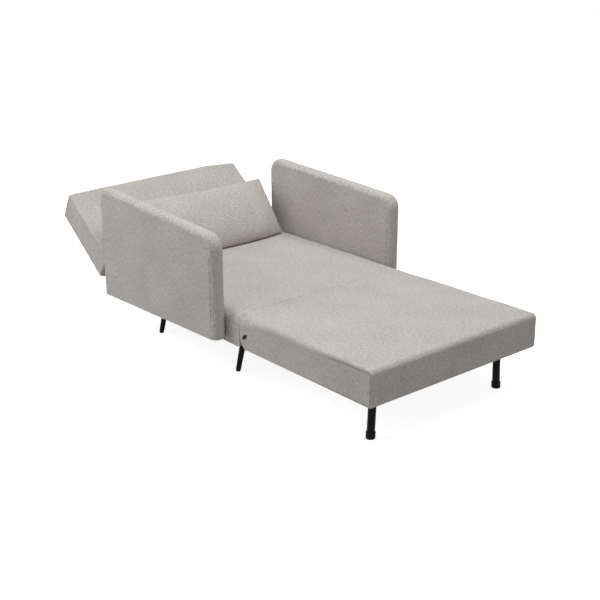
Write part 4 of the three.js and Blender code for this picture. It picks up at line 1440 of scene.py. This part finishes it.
@dataclass
class FoldTrim:
    """What shows beside the fold: a flap's edge, and the link's bolt in a bound hole."""

    side: Side
    face: float = 0.378
    edge: tuple[tuple[float, float], ...] = (
        (-0.0015, 0.2078),
        (-0.018, 0.1962),
        (-0.035, 0.1858),
        (-0.050, 0.1775),
        (-0.0642, 0.1706),
    )
    edge_radius: float = 0.0020
    hole: tuple[float, float] = (-0.0922, 0.1985)
    hole_tilt: float = math.radians(139)
    hole_half: tuple[float, float] = (0.0190, 0.0084)
    welt: float = 0.0026
    head: float = 0.0074
    dome: float = 0.0014
    sides: int = 10

    def build(self, finishes: Finishes) -> None:
        """Make the flap's edge on the seat, and the bound hole and the bolt's head in front of it."""
        x = self.side.value * self.face
        rough = np.array(self.edge)
        t = np.linspace(0, len(rough) - 1, 49)
        yz = np.stack([np.interp(t, np.arange(len(rough)), rough[:, k]) for k in range(2)], axis=1)
        path = np.column_stack([np.full(len(t), x), yz])
        taper = self.edge_radius * np.sqrt(np.clip(np.sin(math.pi * t / t[-1]) * 3, 0, 1))
        tube = tube_along(path, taper, self.sides, False)
        edge = tube.to_object(f"fold_flap_edge_{self.side.tail}", finishes.cloth)
        finish_piece(edge, "base", ())
        a = np.linspace(0, 2 * math.pi, 48, endpoint=False)
        long = self.hole_half[0] * np.cos(a)
        short = self.hole_half[1] * np.sin(a) * np.abs(np.sin(a)) ** 0.35
        c, s = math.cos(self.hole_tilt), math.sin(self.hole_tilt)
        y, z = self.hole[0] + long * c - short * s, self.hole[1] + long * s + short * c
        path = np.stack([np.full(len(a), x), y, z], axis=1)
        girth = self.welt * (0.85 + 0.15 * np.sin(3 * a + 0.7) * np.cos(a))
        tube = tube_along(path, girth, self.sides, True)
        welt = tube.to_object(f"link_hole_welt_{self.side.tail}", finishes.cloth)
        finish_piece(welt, "front_section", ())
        self.bolt(long * c - short * s, long * s + short * c, finishes)

    def bolt(self, y: np.ndarray, z: np.ndarray, finishes: Finishes) -> None:
        """Make what shows in the hole: a dark floor with the bolt's domed head in its middle.

        A point at share f of the way from the middle to the rim, at distance r from the middle,
        stands out by the dome's height times the square root of 1 - (r / head)^2.

        Args:
            y: The rim's places along the chair, from the hole's middle.
            z: Its heights.
            finishes: The materials.
        """
        share = np.linspace(0, 1, 13)[:, None]
        flat = np.stack([share * y, share * z], axis=-1)
        distance = np.linalg.norm(flat, axis=-1)
        stand = 0.0003 + self.dome * np.sqrt(np.clip(1 - (distance / self.head) ** 2, 0, 1))
        outwards = self.side.value * (self.face + stand)[:, :, None]
        grid = np.concatenate([outwards, flat + np.array(self.hole)], axis=-1)
        ids = np.arange(grid[:, :, 0].size).reshape(share.size, -1)
        ids[0] = 0
        ids = np.concatenate([ids, ids[:, :1]], axis=1)
        faces = cells(ids, flipped=True)
        faces[0] = faces[0][:, [1, 2, 3, 0]]
        faces = faces.reshape(-1, 4)
        if self.side is Side.RIGHT:
            thin = faces[:, 2] == faces[:, 3]
            faces = np.where(thin[:, None], faces[:, [1, 0, 2, 2]], faces[:, ::-1])
        points = grid.reshape(-1, 3)
        dish = Surface(points, faces, points[faces][:, :, 1:], np.zeros(len(points))).kept()
        head = dish.to_object(f"link_bolt_head_{self.side.tail}", finishes.black)
        finish_piece(head, "front_section", ())


@dataclass
class Arm:
    """A slim padded arm: cloth over foam over a board."""

    side: Side
    thickness: float = 0.052
    length: float = 0.730
    front_top: float = 0.533
    rear_top: float = 0.571
    front_bottom: float = 0.1695
    rear_bottom: float = 0.151
    corner: float = 0.052
    edge: float = 0.0215
    below: float = 0.06
    lower_corner: float = 0.025
    pole_up: float = 0.34
    bulge: float = 0.0012
    settles: float = 0.0004
    waves: tuple[tuple[float, float, float], ...] = ((0.0005, 0.09, 0.30), (0.0002, 0.025, 0.06))

    def build(self, finishes: Finishes) -> None:
        """Make the arm's cover as a pad that is cut off level below, and stand it beside the seat."""
        outline = Outline.through(
            (
                (0.0, self.front_bottom - self.below, self.lower_corner),
                (0.0, self.front_top, self.corner),
                (self.length, self.rear_top, self.corner),
                (self.length, self.rear_bottom - self.below, self.lower_corner),
            ),
            ((0.0, self.pole_up), (self.length, self.pole_up)),
            120,
        )
        half, steps = self.thickness / 2, {"across_step": 0.0045, "round_steps": 9, "panel_steps": 40}
        surface = SweptPad(outline, half, self.edge, **steps, panel_bulge=self.bulge).surface()
        p, normals = surface.points.copy(), surface.normals()
        seed = 41 + self.side.value
        p += normals * (stuffing(p, self.waves, (seed, seed + 5)) - self.settles)[:, None]
        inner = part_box(f"arm_cover_{self.side.tail}")
        p[:, 0] += (inner[0].x + inner[1].x) / 2
        shaped = Surface(p, surface.faces, surface.maps, np.zeros(len(p)))
        cover = shaped.to_object(f"arm_upholstery_{self.side.tail}", finishes.arm_cloth)
        self.cut_below(cover)
        finish_piece(cover, "base", (f"arm_cover_{self.side.tail}",))

    def cut_below(self, cover: bpy.types.Object) -> None:
        """Cut the cover off along its sloping underside and close the cut with a crisp edge.

        Args:
            cover: The cover, longer below than it should be.
        """
        slope = (self.rear_bottom - self.front_bottom) / self.length
        mesh = bmesh.new()
        mesh.from_mesh(cover.data)
        level = Vector((0, FRONT_OF_ARMS, self.front_bottom))
        up = Vector((0, -slope, 1)).normalized()
        every = list(mesh.verts) + list(mesh.edges) + list(mesh.faces)
        bmesh.ops.bisect_plane(mesh, geom=every, plane_co=level, plane_no=up, clear_inner=True)
        rim = [edge for edge in mesh.edges if edge.is_boundary]
        closed = bmesh.ops.holes_fill(mesh, edges=rim, sides=0)["faces"]
        for face in closed:
            face.smooth = False
        for edge in rim:
            edge.smooth = False
        bmesh.ops.triangulate(mesh, faces=closed)
        mesh.to_mesh(cover.data)
        mesh.free()


@dataclass
class Back:
    """The reclining back, drawn along its own face from the hinge line."""

    half_width: float = 0.411
    length: float = 0.346
    thickness: float = 0.115
    crown: float = 0.008
    mitre: float = 0.050
    top_slant: float = 0.018
    narrow_half: float = 0.376
    pivot_along: float = 0.732
    pivot_up: float = 0.283
    angle: float = math.radians(36.8)
    sewn_round: float = 0.011
    bow: float = 0.028
    bow_peak: float = 0.27
    slot_in: float = 0.3550
    slot_out: float = 0.3685
    slot_top: float = 0.018
    slot_off: float = 0.006
    rear_swell: float = 0.0034
    panel_line: float = 0.014
    peak_width: float = 0.05
    waves: tuple[tuple[float, float, float], ...] = ((0.0006, 0.10, 0.32), (0.0002, 0.03, 0.07))

    def to_chair(self, p: np.ndarray) -> np.ndarray:
        """Turn points from the back's own frame into the chair's, about the hinge line.

        Args:
            p: Points (across, along the face, off the face).

        Returns:
            The same points as they stand in the photographed position.
        """
        c, s = math.cos(self.angle), math.sin(self.angle)
        y = self.pivot_along + p[:, 1] * c - p[:, 2] * s
        z = self.pivot_up + p[:, 1] * s + p[:, 2] * c
        return np.stack([p[:, 0], y, z], axis=1)

    def build(self, finishes: Finishes) -> None:
        """Make the back's upholstery, with a sewn panel behind and slots for the hinges below.

        The top edge is bowed by the bow times 1 - d, with d the softened distance to the peak as a
        share of the distance from the peak to the far end.

        Args:
            finishes: The materials.
        """
        outline = Outline.through(
            (
                (0.0, 0.0, 0.009),
                (self.length, 0.0, 0.012),
                (self.length - self.top_slant, -self.thickness, 0.010),
                (-self.mitre, -self.thickness, 0.010),
            ),
            (
                (-self.mitre / 2, -self.thickness / 2),
                (self.length - self.top_slant / 2, -self.thickness / 2),
            ),
            132,
            turn_weight=0.02,
        )
        inward = self.half_width / self.narrow_half
        edges = (self.slot_in, self.slot_out)
        cuts = tuple(self.half_width - x * scale for x in edges for scale in (1.0, inward))
        steps = {"across_step": 0.010, "round_steps": 6, "panel_steps": 24}
        raw = SweptPad(outline, self.half_width, self.sewn_round, **steps, side_lines=cuts).surface()
        p = raw.points.copy()
        u, w = p[:, 1].copy(), p[:, 2].copy()
        crowned = crown_share(p[:, 0] / self.half_width) * crown_share(2 * u / self.length - 1)
        face = smooth_step(w, -self.thickness / 2, -0.004)
        p[:, 2] += self.crown * crowned * face
        rear = smooth_step(w, -self.thickness + 0.012, -self.thickness + 0.001)
        to_ends = np.minimum(u + 0.020, self.length - self.top_slant - u)
        inset = np.minimum(self.half_width - np.abs(p[:, 0]), to_ends)
        raised = rear * smooth_step(inset, 0.004, 0.016)
        p[:, 2] -= self.rear_swell * raised
        top = smooth_step(u, self.length * 0.6, self.length)
        to_peak = np.sqrt((p[:, 0] - self.bow_peak) ** 2 + self.peak_width**2)
        to_peak = to_peak / (self.bow_peak + self.half_width)
        far_drop = 1 - 0.18 * smooth_step(p[:, 0], 0.30, 0.41)
        p[:, 1] += self.bow * top * np.clip(1 - to_peak, 0, 1) * far_drop
        narrow = smooth_step(u, 0.004, -0.004)
        p[:, 0] *= 1 - narrow * (1 - self.narrow_half / self.half_width)
        shaped = Surface(p, raw.faces, raw.maps, raw.seam)
        normals = shaped.normals()
        uneven = stuffing(p, self.waves, (53, 59))
        # Seam marks round the rear panel and along the sides: they sink the cloth, and the material paints
        # shade along them.
        panel_seam = rear * smooth_step(np.abs(inset - self.panel_line), 0.004, 0.0)
        seam = np.clip(raw.seam * (0.18 + 0.7 * smooth_step(w, -0.02, -0.09)) + panel_seam, 0, 1)
        p = p + normals * (uneven - CLOTH_SETTLES - SEAM_SINKS * seam * (1 - 0.5 * rear))[:, None]
        middle = p[raw.faces].mean(axis=1)
        slot = (np.abs(middle[:, 0]) > self.slot_in) & (np.abs(middle[:, 0]) < self.slot_out)
        slot &= (middle[:, 1] < self.slot_top) & (middle[:, 2] > -self.thickness + self.slot_off)
        surface = Surface(self.to_chair(p), raw.faces, raw.maps, seam).kept(~slot)
        cover = surface.to_object("back_upholstery", finishes.cloth)
        cloth_wall(cover)
        finish_piece(cover, "back", ("back_cushion", "back_panel"))


@dataclass
class Pillow:
    """The loose lumbar pillow: two sheets sewn round their edge and stuffed."""

    back: Back
    width: float = 0.706
    height: float = 0.252
    front_depth: float = 0.062
    rear_depth: float = 0.1055
    rest_height: float = 0.2748
    end_pinch: float = 0.003
    top_pinch: float = 0.009
    foot_pinch: float = 0.004
    lean: float = math.radians(16)
    foot_along: float = -0.101
    foot_off: float = 0.0688
    fullness: float = 0.62
    foot_push: float = 0.046
    grid_steps: tuple[int, int] = (132, 64)
    pucker: tuple[float, float] = (0.016, 0.034)
    pucker_height: float = 0.0009
    soft_height: float = 0.0012
    seam_mark: float = 0.7

    def build(self, finishes: Finishes) -> None:
        """Make the pillow from two bulged grids that share their border.

        A grid runs over a and b from -1 to 1. Its border pulls in between the corners, and its
        depth is ((1 - a^4)(1 - b^2)) to the power of the fullness. Puckers are cosines along the
        seam that fade out within a few centimetres of it. The foot is pushed forward on the seat
        between its corners, by a share that fades towards the top, and flattened where it would
        sink into the seat by more than a little.

        Args:
            finishes: The materials.
        """
        steps_x, steps_y = self.grid_steps
        a = np.sin(np.linspace(-1, 1, steps_x + 1) * math.pi / 2)[:, None]
        b = np.sin(np.linspace(-1, 1, steps_y + 1) * math.pi / 2)[None, :]
        x = a * (self.width / 2 - self.end_pinch * (1 - b * b))
        pinch = np.where(b > 0, self.top_pinch, self.foot_pinch) * (1 - a * a)
        y = b * (self.height / 2 - pinch)
        bulge = np.maximum(0, (1 - a**4) * (1 - b * b)) ** self.fullness
        ids = np.arange(x.size).reshape(x.shape)
        faces, maps, points = [], [], []
        for number, (depth, sign) in enumerate(((self.front_depth, 1), (self.rear_depth, -1))):
            to_side = self.width / 2 - np.abs(x)
            to_long = self.height / 2 - pinch - np.abs(y)
            flat = np.stack([x, y, 0 * x], axis=-1).reshape(-1, 3)
            long_seam = plane_waves(flat, *self.pucker, 61 + number, (1, 12, 1)).reshape(x.shape)
            side_seam = plane_waves(flat, *self.pucker, 67 + number, (12, 1, 1)).reshape(x.shape)
            ripple = long_seam * np.exp(-to_long / 0.018) + side_seam * np.exp(-to_side / 0.020)
            soft = plane_waves(flat, 0.08, 0.25, 71 + number).reshape(x.shape)
            relief = self.pucker_height * ripple + self.soft_height * soft
            lift = depth * bulge + relief * np.minimum(1, bulge * 2.2)
            points.append(
                np.stack([x, y + self.height / 2, sign * np.maximum(lift, 0)], axis=-1).reshape(-1, 3)
            )
            own = ids.copy() + number * x.size
            if number:
                own[[0, -1], :], own[:, [0, -1]] = ids[[0, -1], :], ids[:, [0, -1]]
            quads = cells(own, flipped=True).reshape(-1, 4)
            places = cells(np.stack([x, y], axis=-1) + number, flipped=True).reshape(-1, 4, 2)
            faces.append(quads[:, ::sign])
            maps.append(places[:, ::sign])
        # Seam marks round the sewn edge, along which the material paints shade.
        seam = np.zeros(x.shape)
        seam[[0, -1], :], seam[:, [0, -1]] = self.seam_mark, self.seam_mark
        local = np.vstack(points)
        pushed = self.foot_push * np.clip(1 - np.abs(local[:, 0] * 2 / self.width) ** 2.5, 0, 1)
        pushed = pushed * np.clip(1 - local[:, 1] / self.height, 0, 1) ** 1.6
        steep = self.lean + self.back.angle
        local[:, 1] -= pushed * math.cos(steep)
        local[:, 2] += pushed * math.sin(steep)
        c, s = math.cos(self.lean), math.sin(self.lean)
        along = self.foot_along + local[:, 1] * c - local[:, 2] * s
        off = self.foot_off + local[:, 1] * s + local[:, 2] * c
        place = self.back.to_chair(np.stack([local[:, 0], along, off], axis=1))
        below = np.maximum(0, self.rest_height - place[:, 2])
        place[:, 2] += 0.85 * below
        marks = np.concatenate([seam.ravel(), np.zeros(x.size)])
        surface = Surface(place, np.vstack(faces), np.vstack(maps), marks).kept()
        cover = surface.to_object("lumbar_pillow_cover", finishes.cloth)
        finish_piece(cover, "lumbar_pillow", ("pillow",))
        marks = np.array([[0, 1, 0], [0, 0, 0], [0, self.back.length, 0.03]], float)
        ahead, hinge, top = self.back.to_chair(marks)
        axis, top = ahead - hinge, top + np.array([0, FRONT_OF_ARMS, 0])
        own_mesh(cover)


@dataclass
class TaperedLeg:
    """A tapered steel leg that leans outwards, with its plastic glide."""

    row: LegRow
    side: Side
    foot_x: float = 0.290
    splay: float = math.radians(14)
    foot_radius: float = 0.009
    top_radius: float = 0.0125
    low: float = 0.0033
    high: float = 0.1496
    cone_height: float = 0.1528
    weld: float = 0.0032
    weld_reach: float = 0.0055
    glide_radius: float = 0.008
    glide_height: float = 0.003

    def build(self, finishes: Finishes) -> None:
        """Make the leg with a fillet of weld at its plate, and the glide under it.

        The fillet is a quarter circle: the weld's size times 1 - sqrt(1 - t^2) at share t of it.

        Args:
            finishes: The materials.
        """
        name = f"{self.row.value}_{self.side.tail}"
        low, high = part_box(f"leg_{name}")
        middle_y = (low.y + high.y) / 2

        def centre(height: np.ndarray) -> np.ndarray:
            """The leaning axis at each height."""
            x = self.side.value * (self.foot_x - height * math.tan(self.splay))
            return np.stack([x, np.full_like(height, middle_y)], axis=1)

        shank = np.linspace(self.low + 0.001, self.high - 0.007, 14)
        height = np.concatenate([shank, np.linspace(self.high - 0.006, self.high, 7)])
        radius = self.foot_radius + (self.top_radius - self.foot_radius) * height / self.cone_height
        t = np.clip((height - self.high + self.weld_reach) / self.weld_reach, 0, 1)
        radius = radius + self.weld * (1 - np.sqrt(1 - t**2))
        foot, plate = [[0.0, self.low], [self.foot_radius - 0.001, self.low]], [[0.0, self.high]]
        profile = np.vstack([foot, np.stack([radius, height], axis=1), plate])
        cone = lathe(profile, centre, 40, 1 / math.cos(self.splay))
        leg = cone.to_object(f"tapered_leg_{name}", finishes.black, shift=False)
        finish_piece(leg, "base", (f"leg_{name}",))
        r, h = self.glide_radius, self.glide_height
        foot = rounded_profile(((0, 0, 0), (r, 0, 0.0009), (r, h, 0.0005), (0, h, 0)))
        glide_x = self.side.value * (self.foot_x - self.glide_height * math.tan(self.splay))

        def upright(level: np.ndarray) -> np.ndarray:
            """The glide's upright axis."""
            return np.stack([np.full_like(level, glide_x), np.full_like(level, middle_y)], axis=1)

        glide = lathe(foot, upright, 32).to_object(f"glide_{name}", finishes.plastic, shift=False)
        finish_piece(glide, "base", (f"leg_glide_{name}",))


@dataclass
class FoldOutLeg:
    """A straight tube that swings out from under the front section, with its foot cap."""

    side: Side
    foot_x: float = 0.294
    splay: float = math.radians(2.6)
    tube_radius: float = 0.013
    tube_wall: float = 0.0015
    tube_low: float = 0.0043
    tube_high: float = 0.179
    cap_radius: float = 0.0155
    cap_height: float = 0.024
    cap_floor: float = 0.0042
    sides: int = 44

    def centre(self, height: np.ndarray) -> np.ndarray:
        """Give the leaning axis at each height."""
        low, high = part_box(f"fold_leg_{self.side.tail}")
        x = self.side.value * (self.foot_x - height * math.tan(self.splay))
        return np.stack([x, np.full_like(height, (low.y + high.y) / 2)], axis=1)

    def build(self, finishes: Finishes) -> None:
        """Make the tube with its bore and the cap with two soft rings."""
        inner = self.tube_radius - self.tube_wall
        low, high, r = self.tube_low, self.tube_high, self.tube_radius
        outside = ((inner, low, 0), (r, low, 0.0004), (r, high, 0.0005))
        tube = rounded_profile((*outside, (inner, high, 0.0005), (inner, low, 0)))
        body, stretch = f"front_leg_{self.side.tail}", 1 / math.cos(self.splay)
        bar = lathe(tube, self.centre, self.sides, stretch)
        piece = bar.to_object(f"fold_out_leg_{self.side.tail}", finishes.black, shift=False)
        finish_piece(piece, body, (f"fold_leg_{self.side.tail}",))
        c, h, bore = self.cap_radius, self.cap_height, r + 0.0003
        ring = rounded_profile(
            (
                (0, 0, 0),
                (c - 0.0012, 0, 0.0008),
                (c, 0.0018, 0.001),
                (c, 0.0095, 0.0015),
                (c - 0.0012, 0.0115, 0.0008),
                (c, 0.0135, 0.0015),
                (c, h - 0.0025, 0.0015),
                (c - 0.0015, h, 0.0007),
                (bore, h, 0.0003),
                (bore, self.cap_floor, 0),
                (0, self.cap_floor, 0),
            )
        )
        cup = lathe(ring, self.centre, self.sides, stretch)
        cap = cup.to_object(f"foot_cap_{self.side.tail}", finishes.plastic, shift=False)
        finish_piece(cap, body, (f"fold_foot_{self.side.tail}",))


# Camera, lights and floor


@dataclass
class Studio:
    """A pale floor, a wide soft lamp overhead and a white room."""

    lens: float = 63.37
    azimuth: float = math.radians(-39.941)
    elevation: float = math.radians(19.392)
    roll: float = math.radians(-0.189)
    place: tuple[float, float, float] = (-2.3302, -2.7095, 1.4758)
    sensor: float = 36.0
    sky: float = 0.285
    lamps: tuple[tuple[str, tuple[float, float, float], float, float], ...] = (
        ("overhead_softbox", (0.0, -0.5, 3.5), 2.6, 94.0),
        ("left_softbox", (-2.6, 1.6, 1.6), 2.0, 35.0),
    )
    aim: tuple[float, float, float] = (0.0, 0.0, 0.3)
    floor_half: float = 14.0
    floor_tone: float = 0.55
    floor_glow: float = 0.87

    def camera(self) -> None:
        """Set the camera up from its place and its three angles."""
        a, e, r = self.azimuth, self.elevation, self.roll
        back = Vector((math.sin(a) * math.cos(e), -math.cos(a) * math.cos(e), math.sin(e)))
        right = Vector((math.cos(a), math.sin(a), 0))
        up = right.cross(-back)
        turned_right = math.cos(r) * right + math.sin(r) * up
        turned_up = -math.sin(r) * right + math.cos(r) * up
        data = bpy.data.cameras.new("photo_camera")
        data.lens, data.sensor_width, data.clip_end = self.lens, self.sensor, 60.0
        camera = bpy.data.objects.new("photo_camera", data)
        place = Vector(self.place) + Vector((0, FRONT_OF_ARMS, 0))
        turn = Matrix((turned_right, turned_up, back)).transposed()
        camera.matrix_world = Matrix.Translation(place) @ turn.to_4x4()
        bpy.context.scene.collection.objects.link(camera)
        bpy.context.scene.camera = camera

    def lamp(self, name: str, place: tuple[float, float, float], size: float, power: float) -> None:
        """Hang a square soft lamp that looks at the middle of the chair.

        Args:
            name: The lamp's name.
            place: Where it hangs.
            size: The length of its side.
            power: Its power in watts.
        """
        data = bpy.data.lights.new(name, "AREA")
        data.shape, data.size, data.energy = "SQUARE", size, power
        lamp = bpy.data.objects.new(name, data)
        lamp.location = place
        aim = Vector(self.aim) - Vector(place)
        lamp.rotation_euler = aim.to_track_quat("-Z", "Y").to_euler()
        bpy.context.scene.collection.objects.link(lamp)

    def white_to_camera(self, w: Wiring) -> bpy.types.NodeSocket:
        """Give a share of 1 for rays that see the backdrop, straight or in gloss and glass."""
        path = w.add("ShaderNodeLightPath").outputs
        seen = w.math("ADD", path["Is Camera Ray"], path["Is Glossy Ray"])
        return w.math("MINIMUM", w.math("ADD", seen, path["Is Transmission Ray"]), 1.0)

    def world(self) -> None:
        """Fill the room with soft white light, and show it white."""
        world = bpy.data.worlds.new("white_room")
        world.use_nodes = True
        world.node_tree.nodes.clear()
        w = Wiring(world.node_tree)
        light = w.add("ShaderNodeBackground", {"Color": (1, 0.995, 0.985, 1), "Strength": self.sky})
        shown = w.add("ShaderNodeBackground", {"Color": (1, 1, 1, 1), "Strength": 1.0})
        parts = {0: self.white_to_camera(w), 1: light.outputs[0], 2: shown.outputs[0]}
        mix = w.add("ShaderNodeMixShader", parts)
        w.add("ShaderNodeOutputWorld", {"Surface": mix.outputs[0]})
        bpy.context.scene.world = world

    def floor(self) -> None:
        """Lay a plain pale floor that keeps the chair's shadow and shows white."""
        line = np.linspace(-self.floor_half, self.floor_half, 3)
        grid = flat_sheet(line, line, 0.0)
        grid.faces = grid.faces[:, ::-1]
        material, w, shader = blank_material("pale_floor")
        glow = w.math("MULTIPLY", self.white_to_camera(w), self.floor_glow)
        w.feed(shader, {"Base Color": (*[self.floor_tone] * 3, 1), "Roughness": 0.9, "Specular IOR Level": 0.1})
        w.feed(shader, {"Emission Color": (1, 1, 1, 1), "Emission Strength": glow})
        grid.to_object("studio_floor", material, shift=False)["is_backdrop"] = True

    def build(self) -> None:
        """Set up the camera, the room, the lamps and the floor."""
        self.camera()
        self.world()
        for name, place, size, power in self.lamps:
            self.lamp(name, place, size, power)
        self.floor()
        bpy.context.scene.view_settings.view_transform = "Standard"


@dataclass
class ChairBed:
    """The whole chair bed, built from its sub-assemblies in order."""

    finishes: Finishes = field(default_factory=Finishes)

    def build(self) -> None:
        """Dress the CAD nodes, then make every piece that replaces one."""
        self.finishes.dress_nodes()
        Seat().build(self.finishes)
        FrontSection().build(self.finishes)
        for side in Side:
            FoldTrim(side).build(self.finishes)
            Arm(side).build(self.finishes)
        back = Back()
        back.build(self.finishes)
        Pillow(back).build(self.finishes)
        for side in Side:
            for row in LegRow:
                TaperedLeg(row, side).build(self.finishes)
            FoldOutLeg(side).build(self.finishes)


def corners(box: tuple[Vector, Vector]) -> list[list[float]]:
    """Give a box as plain lists of numbers."""
    return [[float(v) for v in corner] for corner in box]


def main() -> None:
    """Build the studio and the chair bed, and work out both boxes."""
    logging.basicConfig(level=logging.INFO, format="%(message)s")
    Studio().build()
    ChairBed().build()
    {"cad": corners(cad_box), "visual": corners(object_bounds())}


if __name__ == "__main__":
    main()
